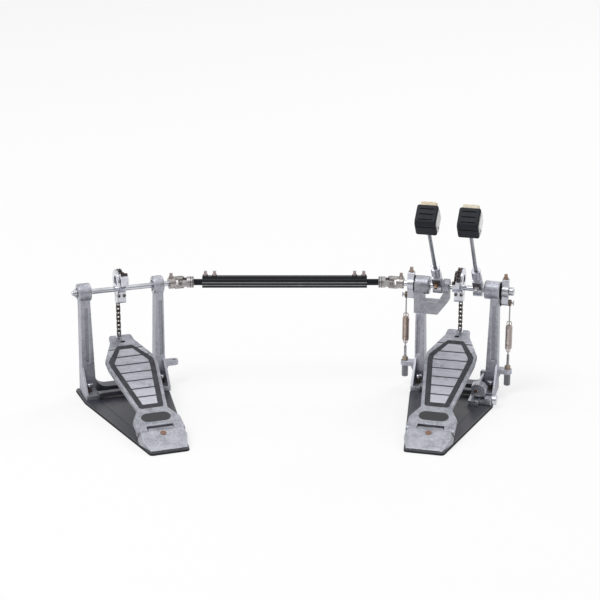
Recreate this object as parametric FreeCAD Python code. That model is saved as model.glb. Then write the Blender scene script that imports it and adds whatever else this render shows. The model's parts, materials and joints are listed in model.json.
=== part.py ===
import FreeCAD, Part
import math
import os

# A double bass drum pedal: the main pedal with two beaters, the slave pedal, and the drive link between.
# Each pedal is drawn in its own frame: +X to the player's right, +Y to the drum, +Z up, with the origin
# on the floor under the middle of its axle. The main pedal's origin is the origin of the whole part.

# Stance of the two pedals along the drive link, which runs along X
axle_height = 200.0
main_yaw = 14.5
slave_yaw = 19.5
link_span = 392.0
main_joint_reach = 126.0
slave_joint_reach = 114.0

# Room between pieces
seat_gap = 0.3
slip_gap = 0.05
overrun = 2.0

# Base plate and the rubber pad under it
pad_thickness = 2.5
pad_lip = 1.0
plate_thickness = 2.5
base_half_width = 77.0
slave_left_base = (88.0, 86.0, 46.0)
slave_right_base = (74.0, 74.0, 46.0)
main_left_base = (77.0, 77.0, 46.0)
main_right_base = (75.0, 82.0, 80.0)
base_drum_edge = 23.0
base_shoulder = 46.0
base_heel_margin = 4.0
base_heel_half_width = 34.0
base_corner = 6.0
panel_rise = 0.8
panel_margin = 17.0
panel_start = 50.0
panel_corner = 9.0

# Cast frame: two posts, the crossbar, the feet and the spring lugs
post_spread = 70.0
post_width = 14.0
post_depth = 24.0
post_flare = 6.0
window_corner = 24.0
crossbar_top = 16.0
crossbar_gap = 4.0
foot_reach = 46.0
rail_depth = 12.0
rail_top = 12.0
slave_left_post = (6.0, 3.0)
main_right_post = (3.6, 0.0)
plain_post = (0.0, 0.0)
foot_height = 9.0
foot_inset = 19.0
gusset_height = 62.0
gusset_width = 4.5
groove_width = 7.0
groove_depth = 2.0
groove_low = 66.0
groove_drop = 28.0
casting_edge = 2.0
lug_spread = 97.0
lug_height = 44.0
lug_thickness = 9.0
lug_radius = 8.0
lug_hole_radius = 3.2
lug_web_drop = 22.0

# Axle barrels and their ball bearings
barrel_radius = 17.0
barrel_edge = 3.0
slave_barrel_inner = 58.5
slave_barrel_outer = 78.5
slave_left_barrel_outer = 83.0
main_barrel_inner = 49.5
main_barrel_outer = 79.0
bearing_radius = 13.0
bearing_width = 8.0
bearing_race = 2.6
bearing_shield_depth = 0.8
barrel_bore = 8.0

# Offset bracket on the main pedal's left post
bracket_drop = 53.0
bracket_arm_drop = 29.0
bracket_arm_end = 36.0
bracket_depth = 22.0
bracket_barrel_inner = 52.5
bracket_barrel_outer = 80.5
bracket_eye_inner = 16.0
bracket_eye_outer = 27.0
bracket_eye_radius = 14.4
bracket_eye_skirt = 26.0
bush_radius = 9.0
bracket_bolt_radius = 3.0
bracket_bolt_length = 30.0

# Axles
axle_radius = 5.0
axle_end_gap = 1.0
slave_cap_radius = 7.6
slave_cap_length = 5.0
slave_tip_radius = 4.6
slave_tip_length = 5.0
right_stub = 104.0
right_cap_radius = 7.6
right_cap_edge = 1.5
rocker_spacer_radius = 16.5

# Drive cam, which carries the chain off centre
cam_back = 2.0
cam_lift = 15.0
chain_radius = 20.0
cam_flange_radius = 22.5
cam_flange_width = 4.0
cam_hub_radius = 10.0
cam_window_radius = 11.0
cam_window_hub = 11.5
cam_block_back = 13.0
cam_block_front = 8.0
cam_block_drop = 25.0
cam_slit = 1.6
cam_screw_radius = 3.4
cam_screw_spread = 5.0
cam_screw_drop = 10.0
cam_screw_stand = 1.2
cam_socket_radius = 1.7
main_clip_start = 173.0
main_clip_end = 222.0
slave_clip_start = 131.0
slave_clip_end = 186.0
clip_rise = 4.0
clip_stand = 2.0

# Roller chain of 8 mm pitch
chain_pitch = 8.0
roller_radius = 2.5
roller_width = 3.0
chain_plate = 0.9
chain_plate_half_height = 3.4
chain_plate_gap = 0.1
chain_pin_radius = 1.15
chain_pin_stand = 0.5
toe_eye_radius = 2.3
main_wrap_links = 7
slave_wrap_links = 5
main_run_links = 13
slave_run_links = 14
chain_aside = 3.0

# Footboard
hinge_reach = 257.0
hinge_height = 18.5
board_thickness = 7.0
board_overlap = 6.0
toe_half_width = 21.0
toe_tip = 6.0
toe_neck = 31.0
board_half_width = 46.5
board_wide_start = 71.0
board_wide_end = 97.0
neck_half_width = 28.0
neck_reach = 58.0
hip_half_width = 43.0
hip_reach = 28.0
board_corner = 5.0
board_edge = 1.5
notch_half_width = 24.0
notch_reach = 9.0
tongue_gap = 1.6
hinge_pin_radius = 3.0
knuckle_radius = 6.0
knuckle_gap = 0.6
toe_pin_rise = 3.6
toe_lug_radius = 3.4
toe_lug_width = 4.0
toe_lug_room = 0.8
toe_pocket_half = 4.0
toe_pocket_reach = 20.0
toe_pocket_depth = 1.5

# Rubber grip let into the footboard, and the blank badge
grip_depth = 2.0
grip_band = 10.0
grip_line = 3.2
grip_bars = 7
grip_toe_half_width = 15.0
grip_toe_reach = 30.0
grip_half_width = 41.5
grip_wide_start = 77.0
grip_wide_end = 93.0
grip_heel_half_width = 22.0
grip_heel_reach = 60.0
grip_corner = 6.0
badge_half_length = 26.5
badge_half_width = 12.0
badge_reach = 33.0
badge_depth = 1.5
badge_rise = 0.4

# Heel plate
heel_toe_height = 8.0
heel_slope_step = 54.0
heel_front_step = 57.0
heel_front_half_width = 32.5
heel_front_height = 6.5
heel_bevel = 5.0
heel_bolt_radius = 5.5
heel_bolt_step = 18.6
heel_bolt_stand = 0.4
heel_bolt_shank = 3.0
heel_bolt_length = 12.0

# Spur bolts
spur_spread = 66.0
spur_reach = 24.0
spur_radius = 4.0
spur_head_radius = 6.0
spur_head_height = 7.0
spur_height = 12.0

# Square headed key bolts
key_shank_radius = 3.0
key_flange_radius = 4.6
key_flange = 3.2
key_square = 5.6
key_head = 6.0

# Beaters
beater_spread = 37.5
beater_lean = 39.0
beater_rod_radius = 3.5
beater_rod_tail = 14.0
beater_rod_length = 224.0
hub_width = 16.0
hub_radius = 13.5
hub_block_half = 10.0
hub_block_top = 36.0
hub_collar_radius = 8.5
hub_collar_top = 61.0
hub_key_height = 20.0
head_half_width = 19.0
head_back = 19.0
head_front = 23.5
head_low = 189.0
head_high = 226.0
head_corner = 4.5
head_crown = 10.0
head_side = 3.5
head_rib_depth = 1.8
head_rib_width = 2.6
head_ribs = 3
head_rib_first = 10.5
head_rib_step = 11.5
head_rib_end = 6.5
felt_thickness = 11.5
felt_margin = 4.6
felt_corner = 3.0
felt_overlap = 3.0
face_thickness = 4.0
face_margin = 3.0

# Spring rockers, pins and springs
rocker_gap = 2.5
rocker_width = 12.5
rocker_radius = 11.5
rocker_arm = 22.0
rocker_arm_half_width = 6.0
rocker_boss_half = 6.5
rocker_boss_top = 23.0
rocker_pin_radius = 2.0
rocker_pin_length = 8.5
rocker_pin_head = 4.4
rocker_pin_head_width = 1.6
ring_radius = 5.1
ring_wire = 1.1
ring_half_width = 2.4
shank_radius = 1.3
spring_radius = 5.5
spring_wire = 1.0
spring_pitch = 2.55
spring_turns = 18
spring_low = 88.0
cone_radius = 3.4
cone_turns = 1.5
hook_bar_radius = 1.7
hook_bar_half = 3.4
tension_rod_radius = 2.5
tension_rod_low = 16.0
tension_neck = 77.0
lock_nut_flat = 9.5
lock_nut_height = 6.5
knurl_nut_radius = 6.0
knurl_nut_length = 23.0
knurl_nut_edge = 1.2

# Universal joints
yoke_radius = 10.5
yoke_length = 13.0
yoke_ear_inner = 6.6
yoke_ear_outer = 10.5
yoke_ear_half = 6.0
yoke_ear_root = 11.0
yoke_edge = 1.0
yoke_key_share = 0.58
cross_half = 4.6
cross_pin_radius = 2.4
loose_pin_gap = 0.6

# Drive link
slave_shaft_shown = 40.0
main_shaft_shown = 45.5
tube_half_width = 9.5
tube_low = 9.5
tube_high = 12.0
tube_corner = 4.5
rail_half_width = 5.0
rail_height = 3.0
ridge_height = 0.7
ridge_half_width = 0.9
ridge_places = (-3.4, 1.8)
inner_flat = 10.5
inner_insert = 110.0
tube_bolt_first = 6.0
tube_bolt_step = 17.0

# Hoop clamp at the main pedal's right front
clamp_left = 39.0
clamp_right = 57.5
clamp_back = 94.0
clamp_front = 50.0
clamp_base_height = 9.5
clamp_side_left = 68.0
clamp_side_right = 80.5
clamp_side_back = 84.0
clamp_side_front = 70.0
clamp_side_height = 13.5
clamp_bridge_height = 7.0
clamp_pivot = 50.5
clamp_pivot_height = 28.5
clamp_rod_radius = 3.2
clamp_post_half = 6.2
clamp_grip_back = 78.0
clamp_grip_front = 56.0
clamp_grip_left = 8.2
clamp_arc_radius = 15.5
clamp_arc_offset = 2.8
clamp_arc_drop = 1.8
clamp_flat_drop = 9.5
clamp_finger_start = 13.5
clamp_finger_end = 21.5
clamp_finger_reach = 10.5
clamp_finger_half = 6.0
clamp_screw_radius = 3.5
thumb_radius = 9.5
thumb_width = 9.0
thumb_edge = 1.5
thumb_lift = 10.0
rivet_stand = 0.8


V = FreeCAD.Vector
RIGHT = V(1, 0, 0)
AHEAD = V(0, 1, 0)
UP = V(0, 0, 1)
ORIGIN = V(0, 0, 0)
base_top = pad_thickness + plate_thickness
heel_top = hinge_height + knuckle_radius
heel_slope_reach = hinge_reach + heel_slope_step
heel_bolt_reach = hinge_reach + heel_bolt_step
heel_front = hinge_reach + heel_front_step
base_heel_edge = heel_front + base_heel_margin
bracket_foot = axle_height - bracket_drop
bracket_arm_top = axle_height - bracket_arm_drop
groove_high = axle_height - groove_drop


def block(x, y, z):
    return Part.makeBox(x[1] - x[0], y[1] - y[0], z[1] - z[0], V(x[0], y[0], z[0]))


def bar(radius, start, end):
    return Part.makeCylinder(radius, (end - start).Length, start, end - start)


def prism(points, run):
    return Part.Face(Part.makePolygon(points + points[:1])).extrude(run)


def plan_prism(points, low, high):
    return prism([V(x, y, low) for x, y in points], UP * (high - low))


def side_prism(points, left, right):
    return prism([V(left, y, z) for y, z in points], RIGHT * (right - left))


def front_prism(points, near, far):
    return prism([V(x, near, z) for x, z in points], AHEAD * (far - near))


def mirrored(points):
    return points + [(-x, y) for x, y in reversed(points)]


def edges_along(shape, axis):
    chosen = []
    for edge in shape.Edges:
        if isinstance(edge.Curve, Part.Line) and abs(edge.Curve.Direction.dot(axis)) > 1 - 1e-6:
            chosen.append(edge)
    return chosen


def round_along(shape, radius, axis):
    return shape.makeFillet(radius, edges_along(shape, axis))


def hex_bar(flat, start, end):
    corner = flat / 2 / math.cos(math.pi / 6)
    run = end - start
    side = run.cross(UP) if abs(run.normalize().dot(UP)) < 0.9 else RIGHT
    side = V(side).normalize()
    other = run.cross(side)
    points = []
    for step in range(6):
        turn = math.radians(60 * step)
        points.append(start + side * (corner * math.cos(turn)) + other * (corner * math.sin(turn)))
    return prism(points, end - start)


def turned(shape, angle, centre, axis):
    copy = shape.copy()
    copy.rotate(centre, axis, angle)
    return copy


def joined(shapes):
    return shapes[0].multiFuse(shapes[1:]).removeSplitter()


def key_bolt(foot, direction, shank):
    # a drum key bolt: shank down from the seat, round flange and square head above it
    square = Part.makeBox(key_square, key_square, key_head)
    square.translate(V(-key_square / 2, -key_square / 2, key_flange))
    bolt = joined([
        bar(key_shank_radius, V(0, 0, -shank), ORIGIN),
        bar(key_flange_radius, ORIGIN, UP * key_flange),
        square,
    ])
    bolt.Placement = FreeCAD.Placement(foot, FreeCAD.Rotation(UP, direction))
    return bolt


def rounded_barrel(left, right, radius):
    barrel = bar(radius, V(left, 0, axle_height), V(right, 0, axle_height))
    rims = [edge for edge in barrel.Edges if isinstance(edge.Curve, Part.Circle)]
    return barrel.makeFillet(barrel_edge, rims)


def axle_bar(radius, left, right):
    return bar(radius, V(left, 0, axle_height), V(right, 0, axle_height))


def bearing(left, right, radius):
    # a shielded ring bearing: outer race, sunk shields and inner race
    ring = axle_bar(radius - slip_gap, left, right).cut(
        axle_bar(axle_radius + slip_gap, left - overrun, right + overrun))
    shield = axle_bar(radius - bearing_race, left - overrun, left + bearing_shield_depth)
    shield = shield.fuse(axle_bar(radius - bearing_race, right - bearing_shield_depth, right + overrun))
    shield = shield.cut(axle_bar(axle_radius + bearing_race, left - overrun * 2, right + overrun * 2))
    return ring.cut(shield)


# Base: outline shared by the pad and the plate
def base_outline(left, right, grow):
    # each flank is given as its half width at the drum edge, at its shoulder, and the shoulder's reach
    outline = []
    for side, (edge_half, shoulder_half, shoulder) in ((1, right), (-1, left)):
        flank = [
            (side * (edge_half + grow), base_drum_edge + grow),
            (side * (shoulder_half + grow), -shoulder),
            (side * (base_heel_half_width + grow), -base_heel_edge - grow),
        ]
        outline += flank if side > 0 else flank[::-1]
    return outline


def base_pad(left, right):
    pad = plan_prism(base_outline(left, right, pad_lip), 0, pad_thickness)
    return round_along(pad, base_corner + pad_lip, UP)


def base_plate(left, right):
    plate = plan_prism(base_outline(left, right, 0), pad_thickness, base_top)
    plate = round_along(plate, base_corner, UP)
    slope = (base_half_width - base_heel_half_width) / (base_heel_edge - base_shoulder)
    panel_end = hinge_reach - board_overlap * 3
    panel = mirrored([
        (base_half_width - panel_margin, -panel_start),
        (base_half_width - panel_margin - slope * (panel_end - base_shoulder), -panel_end),
    ])
    raised = round_along(plan_prism(panel, base_top, base_top + panel_rise), panel_corner, UP)
    return plate.fuse(raised)


# Cast frame of one pedal
def spring_lug(side):
    arm_start = post_spread + post_width / 2 - overrun
    low = lug_height - lug_thickness / 2
    high = lug_height + lug_thickness / 2
    arm = block((arm_start, lug_spread), (-lug_radius, lug_radius), (low, high))
    end = bar(lug_radius, V(lug_spread, 0, low), V(lug_spread, 0, high))
    web = front_prism([
        (arm_start, low + casting_edge),
        (lug_spread - lug_radius - casting_edge, low + casting_edge),
        (arm_start, low - lug_web_drop),
    ], -lug_radius / 2, lug_radius / 2)
    hole = bar(lug_hole_radius, V(lug_spread, 0, low - overrun), V(lug_spread, 0, high + overrun))
    lug = joined([arm, end, web]).cut(hole)
    return lug if side > 0 else lug.mirror(ORIGIN, RIGHT)


def frame_post(side, extra):
    outer = post_spread + post_width / 2 + extra[0]
    near = -post_depth / 2
    gusset = side_prism([
        (near + casting_edge, base_top),
        (-foot_reach, base_top),
        (-foot_reach, base_top + foot_height),
        (near + casting_edge, gusset_height),
    ], outer - gusset_width, outer)
    foot = block((outer - extra[0] - foot_inset, outer), (-foot_reach, -near),
                 (base_top, base_top + foot_height))
    foot = round_along(foot, casting_edge, UP)
    post = joined([gusset, foot])
    return post if side > 0 else post.mirror(ORIGIN, RIGHT)


def frame_casting(barrels, tops, lug_sides, holes, extras):
    # the U of posts and crossbar is a front profile, with the window taken out of it
    # each post can be wider on its outside, at its foot and at its top
    outer = post_spread + post_width / 2
    inner = post_spread - post_width / 2
    near = -post_depth / 2
    at_left, at_right = extras
    profile = [(-outer - at_left[0], base_top), (outer + at_right[0], base_top),
               (outer + at_right[1], tops[1])]
    if tops[0] != tops[1]:
        profile += [(0, tops[1]), (0, tops[0])]
    profile.append((-outer - at_left[1], tops[0]))
    body = round_along(front_prism(profile, near, -near), casting_edge, UP)
    high = axle_height + barrel_radius
    window = front_prism([
        (-inner, high),
        (-inner + post_flare, crossbar_top),
        (inner - post_flare, crossbar_top),
        (inner, high),
    ], near - overrun, -near + overrun)
    corners = [edge for edge in edges_along(window, AHEAD)
               if edge.CenterOfMass.z < crossbar_top + casting_edge]
    body = body.cut(window.makeFillet(window_corner, corners))
    under_half = outer - foot_inset
    body = body.cut(block((-under_half, under_half), (near - overrun, -near + overrun),
                          (base_top - overrun, base_top + crossbar_gap)))
    rail = block((-under_half - overrun, under_half + overrun), (-foot_reach, -foot_reach + rail_depth),
                 (base_top + crossbar_gap, base_top + rail_top))
    pieces = [body, frame_post(1, at_right), frame_post(-1, at_left), rail]
    pieces += [spring_lug(side) for side in lug_sides]
    pieces += [rounded_barrel(left, right, barrel_radius) for left, right in barrels]
    casting = joined(pieces)
    cuts = list(holes)
    for side, top in ((-1, tops[0]), (1, tops[1])):
        middle = side * post_spread
        cuts.append(block((middle - groove_width / 2, middle + groove_width / 2),
                          (near - overrun, near + groove_depth),
                          (groove_low, min(groove_high, top - groove_depth * 2))))
    for left, right in barrels:
        cuts.append(axle_bar(barrel_bore, left - overrun, right + overrun))
        cuts += bearing_seats(left, right)
    for side, extra in ((-1, at_left), (1, at_right)):
        spot = spur_spot(side, extra)
        cuts.append(bar(spur_radius + slip_gap, spot, spot + UP * (base_top + foot_height + overrun)))
    return casting.cut(Part.makeCompound(cuts))


def bearing_places(left, right):
    # one bearing at each end of a barrel
    return [(left, left + bearing_width), (right - bearing_width, right)]


def bearing_seats(left, right):
    return [axle_bar(bearing_radius, left - overrun, left + bearing_width),
            axle_bar(bearing_radius, right - bearing_width, right + overrun)]


def offset_bracket():
    half = bracket_depth / 2
    outer = -bracket_barrel_outer
    stem = outer + post_width + overrun * 2
    elbow = -bracket_arm_end
    eye_left = -bracket_eye_outer
    eye_right = -bracket_eye_inner
    arm = front_prism([
        (outer, bracket_foot),
        (elbow, bracket_foot),
        (eye_right, axle_height - bracket_eye_skirt),
        (eye_right, axle_height),
        (eye_left, axle_height),
        (eye_left, axle_height - bracket_eye_radius + overrun),
        (elbow, bracket_arm_top),
        (stem, bracket_arm_top),
        (stem, axle_height),
        (outer, axle_height),
    ], -half, half)
    eye = axle_bar(bracket_eye_radius, eye_left, eye_right)
    barrel = rounded_barrel(outer, -bracket_barrel_inner, barrel_radius)
    bracket = joined([arm, eye, barrel])
    cuts = bearing_seats(outer, -bracket_barrel_inner)
    cuts.append(axle_bar(barrel_bore, outer - overrun, -bracket_barrel_inner + overrun))
    cuts.append(axle_bar(bush_radius, eye_left - overrun, eye_right + overrun))
    cuts.append(bracket_bolt(slip_gap))
    return bracket.cut(Part.makeCompound(cuts))


def bracket_bolt(room):
    middle = V(-post_spread, 0, bracket_foot)
    half = UP * (bracket_bolt_length / 2 + room)
    return bar(bracket_bolt_radius + room, middle - half, middle + half)


def bracket_bush():
    left = -bracket_eye_outer
    right = -bracket_eye_inner
    bush = axle_bar(bush_radius - slip_gap, left, right)
    return bush.cut(axle_bar(axle_radius + slip_gap, left - overrun, right + overrun))


# Heel plate, hinge pin and the bolts in the base
def heel_plate():
    hip = hip_half_width
    front = heel_front
    body = plan_prism(mirrored([
        (hip, -hinge_reach - knuckle_radius - knuckle_gap),
        (hip, -hinge_reach - knuckle_radius * 3),
        (heel_front_half_width, -front),
    ]), base_top, heel_top)
    wedge = side_prism([
        (-hinge_reach - knuckle_radius - knuckle_gap, base_top),
        (-hinge_reach - knuckle_radius - knuckle_gap, heel_top),
        (-hinge_reach - knuckle_radius * 2, heel_top),
        (-heel_slope_reach, heel_toe_height),
        (-front, heel_front_height),
        (-front, base_top),
    ], -hip - overrun, hip + overrun)
    bevel = front_prism(mirrored([
        (hip + heel_bevel / 2, base_top),
        (hip - heel_bevel, heel_top),
    ]), -front - overrun, -hinge_reach)
    body = body.common(wedge).common(bevel)
    tongue_half = notch_half_width - tongue_gap
    tongue = block((-tongue_half, tongue_half), (-hinge_reach - knuckle_radius * 2, -hinge_reach),
                   (base_top, hinge_height + knuckle_radius))
    knuckle = bar(knuckle_radius, V(-tongue_half, -hinge_reach, hinge_height),
                  V(tongue_half, -hinge_reach, hinge_height))
    column = block((-tongue_half, tongue_half),
                   (-hinge_reach - knuckle_radius, -hinge_reach + knuckle_radius), (base_top, hinge_height))
    body = joined([body, tongue, knuckle, column])
    pin = bar(hinge_pin_radius + slip_gap, V(-hip - overrun, -hinge_reach, hinge_height),
              V(hip + overrun, -hinge_reach, hinge_height))
    return body.cut(Part.makeCompound([pin, heel_bolt(slip_gap)]))


def heel_surface(reach):
    # height of the heel plate's sloping top at a distance from the axle
    start = hinge_reach + knuckle_radius * 2
    share = (reach - start) / (heel_slope_reach - start)
    return heel_top + (heel_toe_height - heel_top) * share


def heel_bolt(room):
    # it stands square to the sloping top
    spot = V(0, -heel_bolt_reach, heel_surface(heel_bolt_reach))
    drop = heel_surface(heel_bolt_reach) - heel_surface(heel_bolt_reach + heel_bolt_length)
    square = V(0, -drop, heel_bolt_length).normalize()
    seat = spot - square * (heel_bolt_stand * 3 + room)
    head = bar(heel_bolt_radius + room, seat, spot + square * heel_bolt_stand)
    shank = bar(heel_bolt_shank + room, spot - square * (heel_bolt_length + room), seat + square * room)
    return head.fuse(shank)


def hinge_pin():
    half = hip_half_width - slip_gap
    return bar(hinge_pin_radius, V(-half, -hinge_reach, hinge_height), V(half, -hinge_reach, hinge_height))


def spur_spot(side, extra):
    return V(side * (spur_spread + extra[0]), -spur_reach, 0)


def spur_bolt(side, extra):
    spot = spur_spot(side, extra)
    top = base_top + foot_height + spur_height
    shank = bar(spur_radius, spot + UP * base_top, spot + UP * top)
    head = bar(spur_head_radius, spot + UP * (top - overrun), spot + UP * (top + spur_head_height - overrun))
    rims = [edge for edge in head.Edges if isinstance(edge.Curve, Part.Circle)]
    return shank.fuse(head.makeFillet(spur_head_height / 3, rims))


# Footboard, drawn flat with the hinge pin at the origin of its own frame
def board_length(run_links):
    return math.hypot(hinge_reach + toe_line, toe_pin_height(run_links) - hinge_height)


def toe_pin_height(run_links):
    return axle_height + cam_lift - run_links * chain_pitch


toe_line = chain_radius - cam_back


def board_tilt(run_links):
    rise = toe_pin_height(run_links) - hinge_height
    pin_angle = math.degrees(math.atan2(rise, hinge_reach + toe_line))
    flat_angle = math.degrees(math.asin((board_top() + toe_pin_rise) / board_length(run_links)))
    return pin_angle - flat_angle


def board_top():
    return knuckle_radius


def board_reach(run_links):
    return math.sqrt(board_length(run_links) ** 2 - (board_top() + toe_pin_rise) ** 2)


def grip_outline(reach, inset):
    # a stretched hexagon; the inset narrows it by the width of the rubber band
    lean = math.atan2(grip_half_width - grip_heel_half_width, reach - grip_wide_end - grip_heel_reach)
    side = inset / math.cos(lean)
    slant = math.atan2(grip_wide_start - grip_toe_reach, grip_half_width - grip_toe_half_width)
    slant_step = inset * math.tan(math.pi / 4 - slant / 2 + math.pi / 8)
    heel_step = inset * math.tan(lean)
    return mirrored([
        (grip_toe_half_width - slant_step * 0.5, reach - grip_toe_reach - inset),
        (grip_half_width - inset, reach - grip_wide_start - inset * 0.5),
        (grip_half_width - inset, reach - grip_wide_end),
        (grip_heel_half_width - side + heel_step, grip_heel_reach + inset),
    ])


def grip_solid(run_links, room):
    # rubber frame and cross lines: the hexagon less the bright bars that stand up through it
    reach = board_reach(run_links)
    top = board_top()
    floor = top - grip_depth
    outer = round_along(plan_prism(grip_outline(reach, room), floor, top), grip_corner, UP)
    inner = plan_prism(grip_outline(reach, grip_band - room), floor - overrun, top + overrun)
    start = grip_heel_reach + grip_band
    end = reach - grip_toe_reach - grip_band
    pitch = (end - start) / grip_bars
    half = grip_half_width
    bars = []
    for index in range(grip_bars):
        low = start + pitch * index + grip_line / 2 - room
        high = start + pitch * (index + 1) - grip_line / 2 + room
        strip = block((-half, half), (low, high), (floor - overrun, top + overrun))
        bars.append(inner.common(strip))
    return outer.cut(Part.makeCompound(bars))


def badge_solid(room, rise):
    half = badge_half_length - badge_half_width
    radius = badge_half_width + room
    top = board_top() + rise
    floor = board_top() - badge_depth - room
    ends = [bar(radius, V(x, badge_reach, floor), V(x, badge_reach, top)) for x in (-half, half)]
    middle = block((-half, half), (badge_reach - radius, badge_reach + radius), (floor, top))
    return joined([middle] + ends)


def footboard(run_links, side):
    reach = board_reach(run_links)
    toe = side * chain_aside
    top = board_top()
    floor = top - board_thickness
    outline = mirrored([
        (toe_half_width, reach + toe_tip),
        (toe_half_width + overrun, reach - toe_neck + board_wide_start / 4),
        (board_half_width, reach - board_wide_start),
        (board_half_width, reach - board_wide_end),
        (neck_half_width, neck_reach),
        (hip_half_width, hip_reach),
        (hip_half_width, 0),
    ])
    plate = round_along(plan_prism(outline, floor, top), board_corner, UP)
    rim = [edge for edge in plate.Edges if abs(edge.BoundBox.ZMin - top) < slip_gap]
    plate = plate.makeFillet(board_edge, rim)
    knuckles = []
    for way in (-1, 1):
        spots = sorted((way * notch_half_width, way * hip_half_width))
        knuckles.append(bar(knuckle_radius, V(spots[0], 0, 0), V(spots[1], 0, 0)))
    lug_near = reach - toe_lug_radius
    lug_half = toe_lug_width / 2
    lug = block((toe - lug_half, toe + lug_half), (lug_near, reach + toe_lug_radius),
                (floor, top + toe_pin_rise))
    eye = bar(toe_lug_radius, V(toe - lug_half, reach, top + toe_pin_rise),
              V(toe + lug_half, reach, top + toe_pin_rise))
    board = joined([plate, lug, eye] + knuckles)
    room = knuckle_radius + knuckle_gap
    half = notch_half_width
    chain_half = chain_half_width() + toe_lug_room
    plate_room = chain_plate_half_height + toe_lug_room
    cuts = [
        block((-half, half), (-room - overrun, notch_reach), (floor - room, top + overrun)),
        bar(hinge_pin_radius + slip_gap, V(-hip_half_width - overrun, 0, 0),
            V(hip_half_width + overrun, 0, 0)),
        grip_solid(run_links, 0),
        badge_solid(slip_gap, overrun),
        block((-toe_pocket_half, toe_pocket_half),
              (reach - toe_pocket_reach, reach - toe_pocket_reach + toe_pocket_half * 1.4),
              (top - toe_pocket_depth, top + overrun)),
    ]
    for way in (-1, 1):
        spots = sorted((toe + way * lug_half, toe + way * chain_half))
        cuts.append(block(spots, (reach - plate_room, reach + toe_tip + overrun),
                          (floor - overrun, top + overrun)))
    board = board.cut(Part.makeCompound(cuts))
    return board.fuse(bar(chain_pin_radius, V(toe - chain_half_width(), reach, top + toe_pin_rise),
                          V(toe + chain_half_width(), reach, top + toe_pin_rise)))


def chain_half_width():
    return roller_width / 2 + chain_plate * 2 + chain_plate_gap * 2 + chain_pin_stand


def set_board(shape, run_links):
    shape = turned(shape, board_tilt(run_links), ORIGIN, RIGHT)
    shape.translate(V(0, -hinge_reach, hinge_height))
    return shape


# Drive cam and chain, drawn in the middle plane and then moved aside
def moved_aside(shape, side):
    shape = shape.copy()
    shape.translate(RIGHT * (side * chain_aside))
    return shape


def cam_centre():
    return V(0, -cam_back, axle_height + cam_lift)


def cam_drum_radius():
    sag = chain_radius - math.sqrt(chain_radius ** 2 - (chain_pitch / 2) ** 2)
    return chain_radius - chain_plate_half_height - sag - slip_gap


def cam_half_width():
    return chain_half_width() + seat_gap + cam_flange_width


def ring_point(angle, radius):
    turn = math.radians(angle)
    return cam_centre() + AHEAD * (radius * math.cos(turn)) + UP * (radius * math.sin(turn))


def across(point, offset):
    return V(point.x + offset, point.y, point.z)


def drive_cam(side):
    # one tall flange, on the given side, guides the chain
    half = cam_half_width()
    groove = chain_half_width() + seat_gap
    centre = cam_centre()
    drum = bar(cam_drum_radius(), across(centre, -half), across(centre, half))
    spots = sorted((side * groove, side * half))
    flange = bar(cam_flange_radius, across(centre, spots[0]), across(centre, spots[1]))
    rims = [edge for edge in flange.Edges if isinstance(edge.Curve, Part.Circle)]
    flange = flange.makeFillet(cam_flange_width / 6, rims)
    hub = axle_bar(cam_hub_radius, -half, half)
    tail = block((-half, half), (-cam_block_back, cam_block_front),
                 (axle_height - cam_block_drop, axle_height))
    tail = round_along(tail, cam_flange_width, RIGHT)
    cam = joined([drum, hub, tail, flange])
    window = bar(cam_window_radius, across(centre, -half - overrun), across(centre, half + overrun))
    window = window.cut(axle_bar(cam_window_hub, -half - overrun * 2, half + overrun * 2))
    slit = block((-half - overrun, half + overrun), (-cam_slit / 2, cam_slit / 2),
                 (axle_height - cam_block_drop - overrun, axle_height))
    cuts = [window, slit, axle_hole(-half, half)]
    cuts += [cam_screw(way, slip_gap) for way in (-1, 1)]
    return cam.cut(Part.makeCompound(cuts))


def axle_hole(left, right):
    return axle_bar(axle_radius + slip_gap, left - overrun, right + overrun)


def cam_screw(side, room):
    x = side * cam_screw_spread
    z = axle_height - cam_screw_drop
    near = -cam_block_back - cam_screw_stand - room
    shank = bar(cam_screw_radius + room, V(x, near, z), V(x, cam_block_front - cam_slit + room, z))
    if room:
        return shank
    socket = bar(cam_socket_radius, V(x, near - overrun, z), V(x, near + cam_screw_radius, z))
    return shank.cut(socket)


def chain_clip(side, first_angle, last_angle):
    # a bright wedge beside the tall flange that holds the last link to the cam
    left, right = sorted((-side * (cam_half_width() + clip_stand), side * chain_half_width()))
    inner = cam_drum_radius() + slip_gap
    outer = cam_flange_radius + clip_rise
    start = math.radians(first_angle)
    end = math.radians(last_angle)
    bend = (start + end) / 2
    centre = cam_centre()
    far = V(0, math.cos(bend), math.sin(bend)) * (outer / math.cos((end - start) / 2))
    first = V(0, math.cos(start), math.sin(start)) * outer
    last = V(0, math.cos(end), math.sin(end)) * outer
    points = [across(centre + offset, left) for offset in (ORIGIN, first, far, last)]
    wedge = prism(points, RIGHT * (right - left))
    return wedge.cut(bar(inner, across(centre, left - overrun), across(centre, right + overrun)))


def link_plate(first, second, left, right, hole_first=0, hole_second=0):
    run = (second - first).normalize()
    lift = run.cross(RIGHT) * chain_plate_half_height
    reach = run * chain_plate_half_height
    first = across(first, left)
    second = across(second, left)
    edges = [
        Part.LineSegment(first + lift, second + lift).toShape(),
        Part.Arc(second + lift, second + reach, second - lift).toShape(),
        Part.LineSegment(second - lift, first - lift).toShape(),
        Part.Arc(first - lift, first - reach, first + lift).toShape(),
    ]
    plate = Part.Face(Part.Wire(edges)).extrude(RIGHT * (right - left))
    for spot, hole in ((first, hole_first), (second, hole_second)):
        if hole:
            plate = plate.cut(bar(hole, across(spot, -overrun), across(spot, right - left + overrun)))
    return plate


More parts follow.
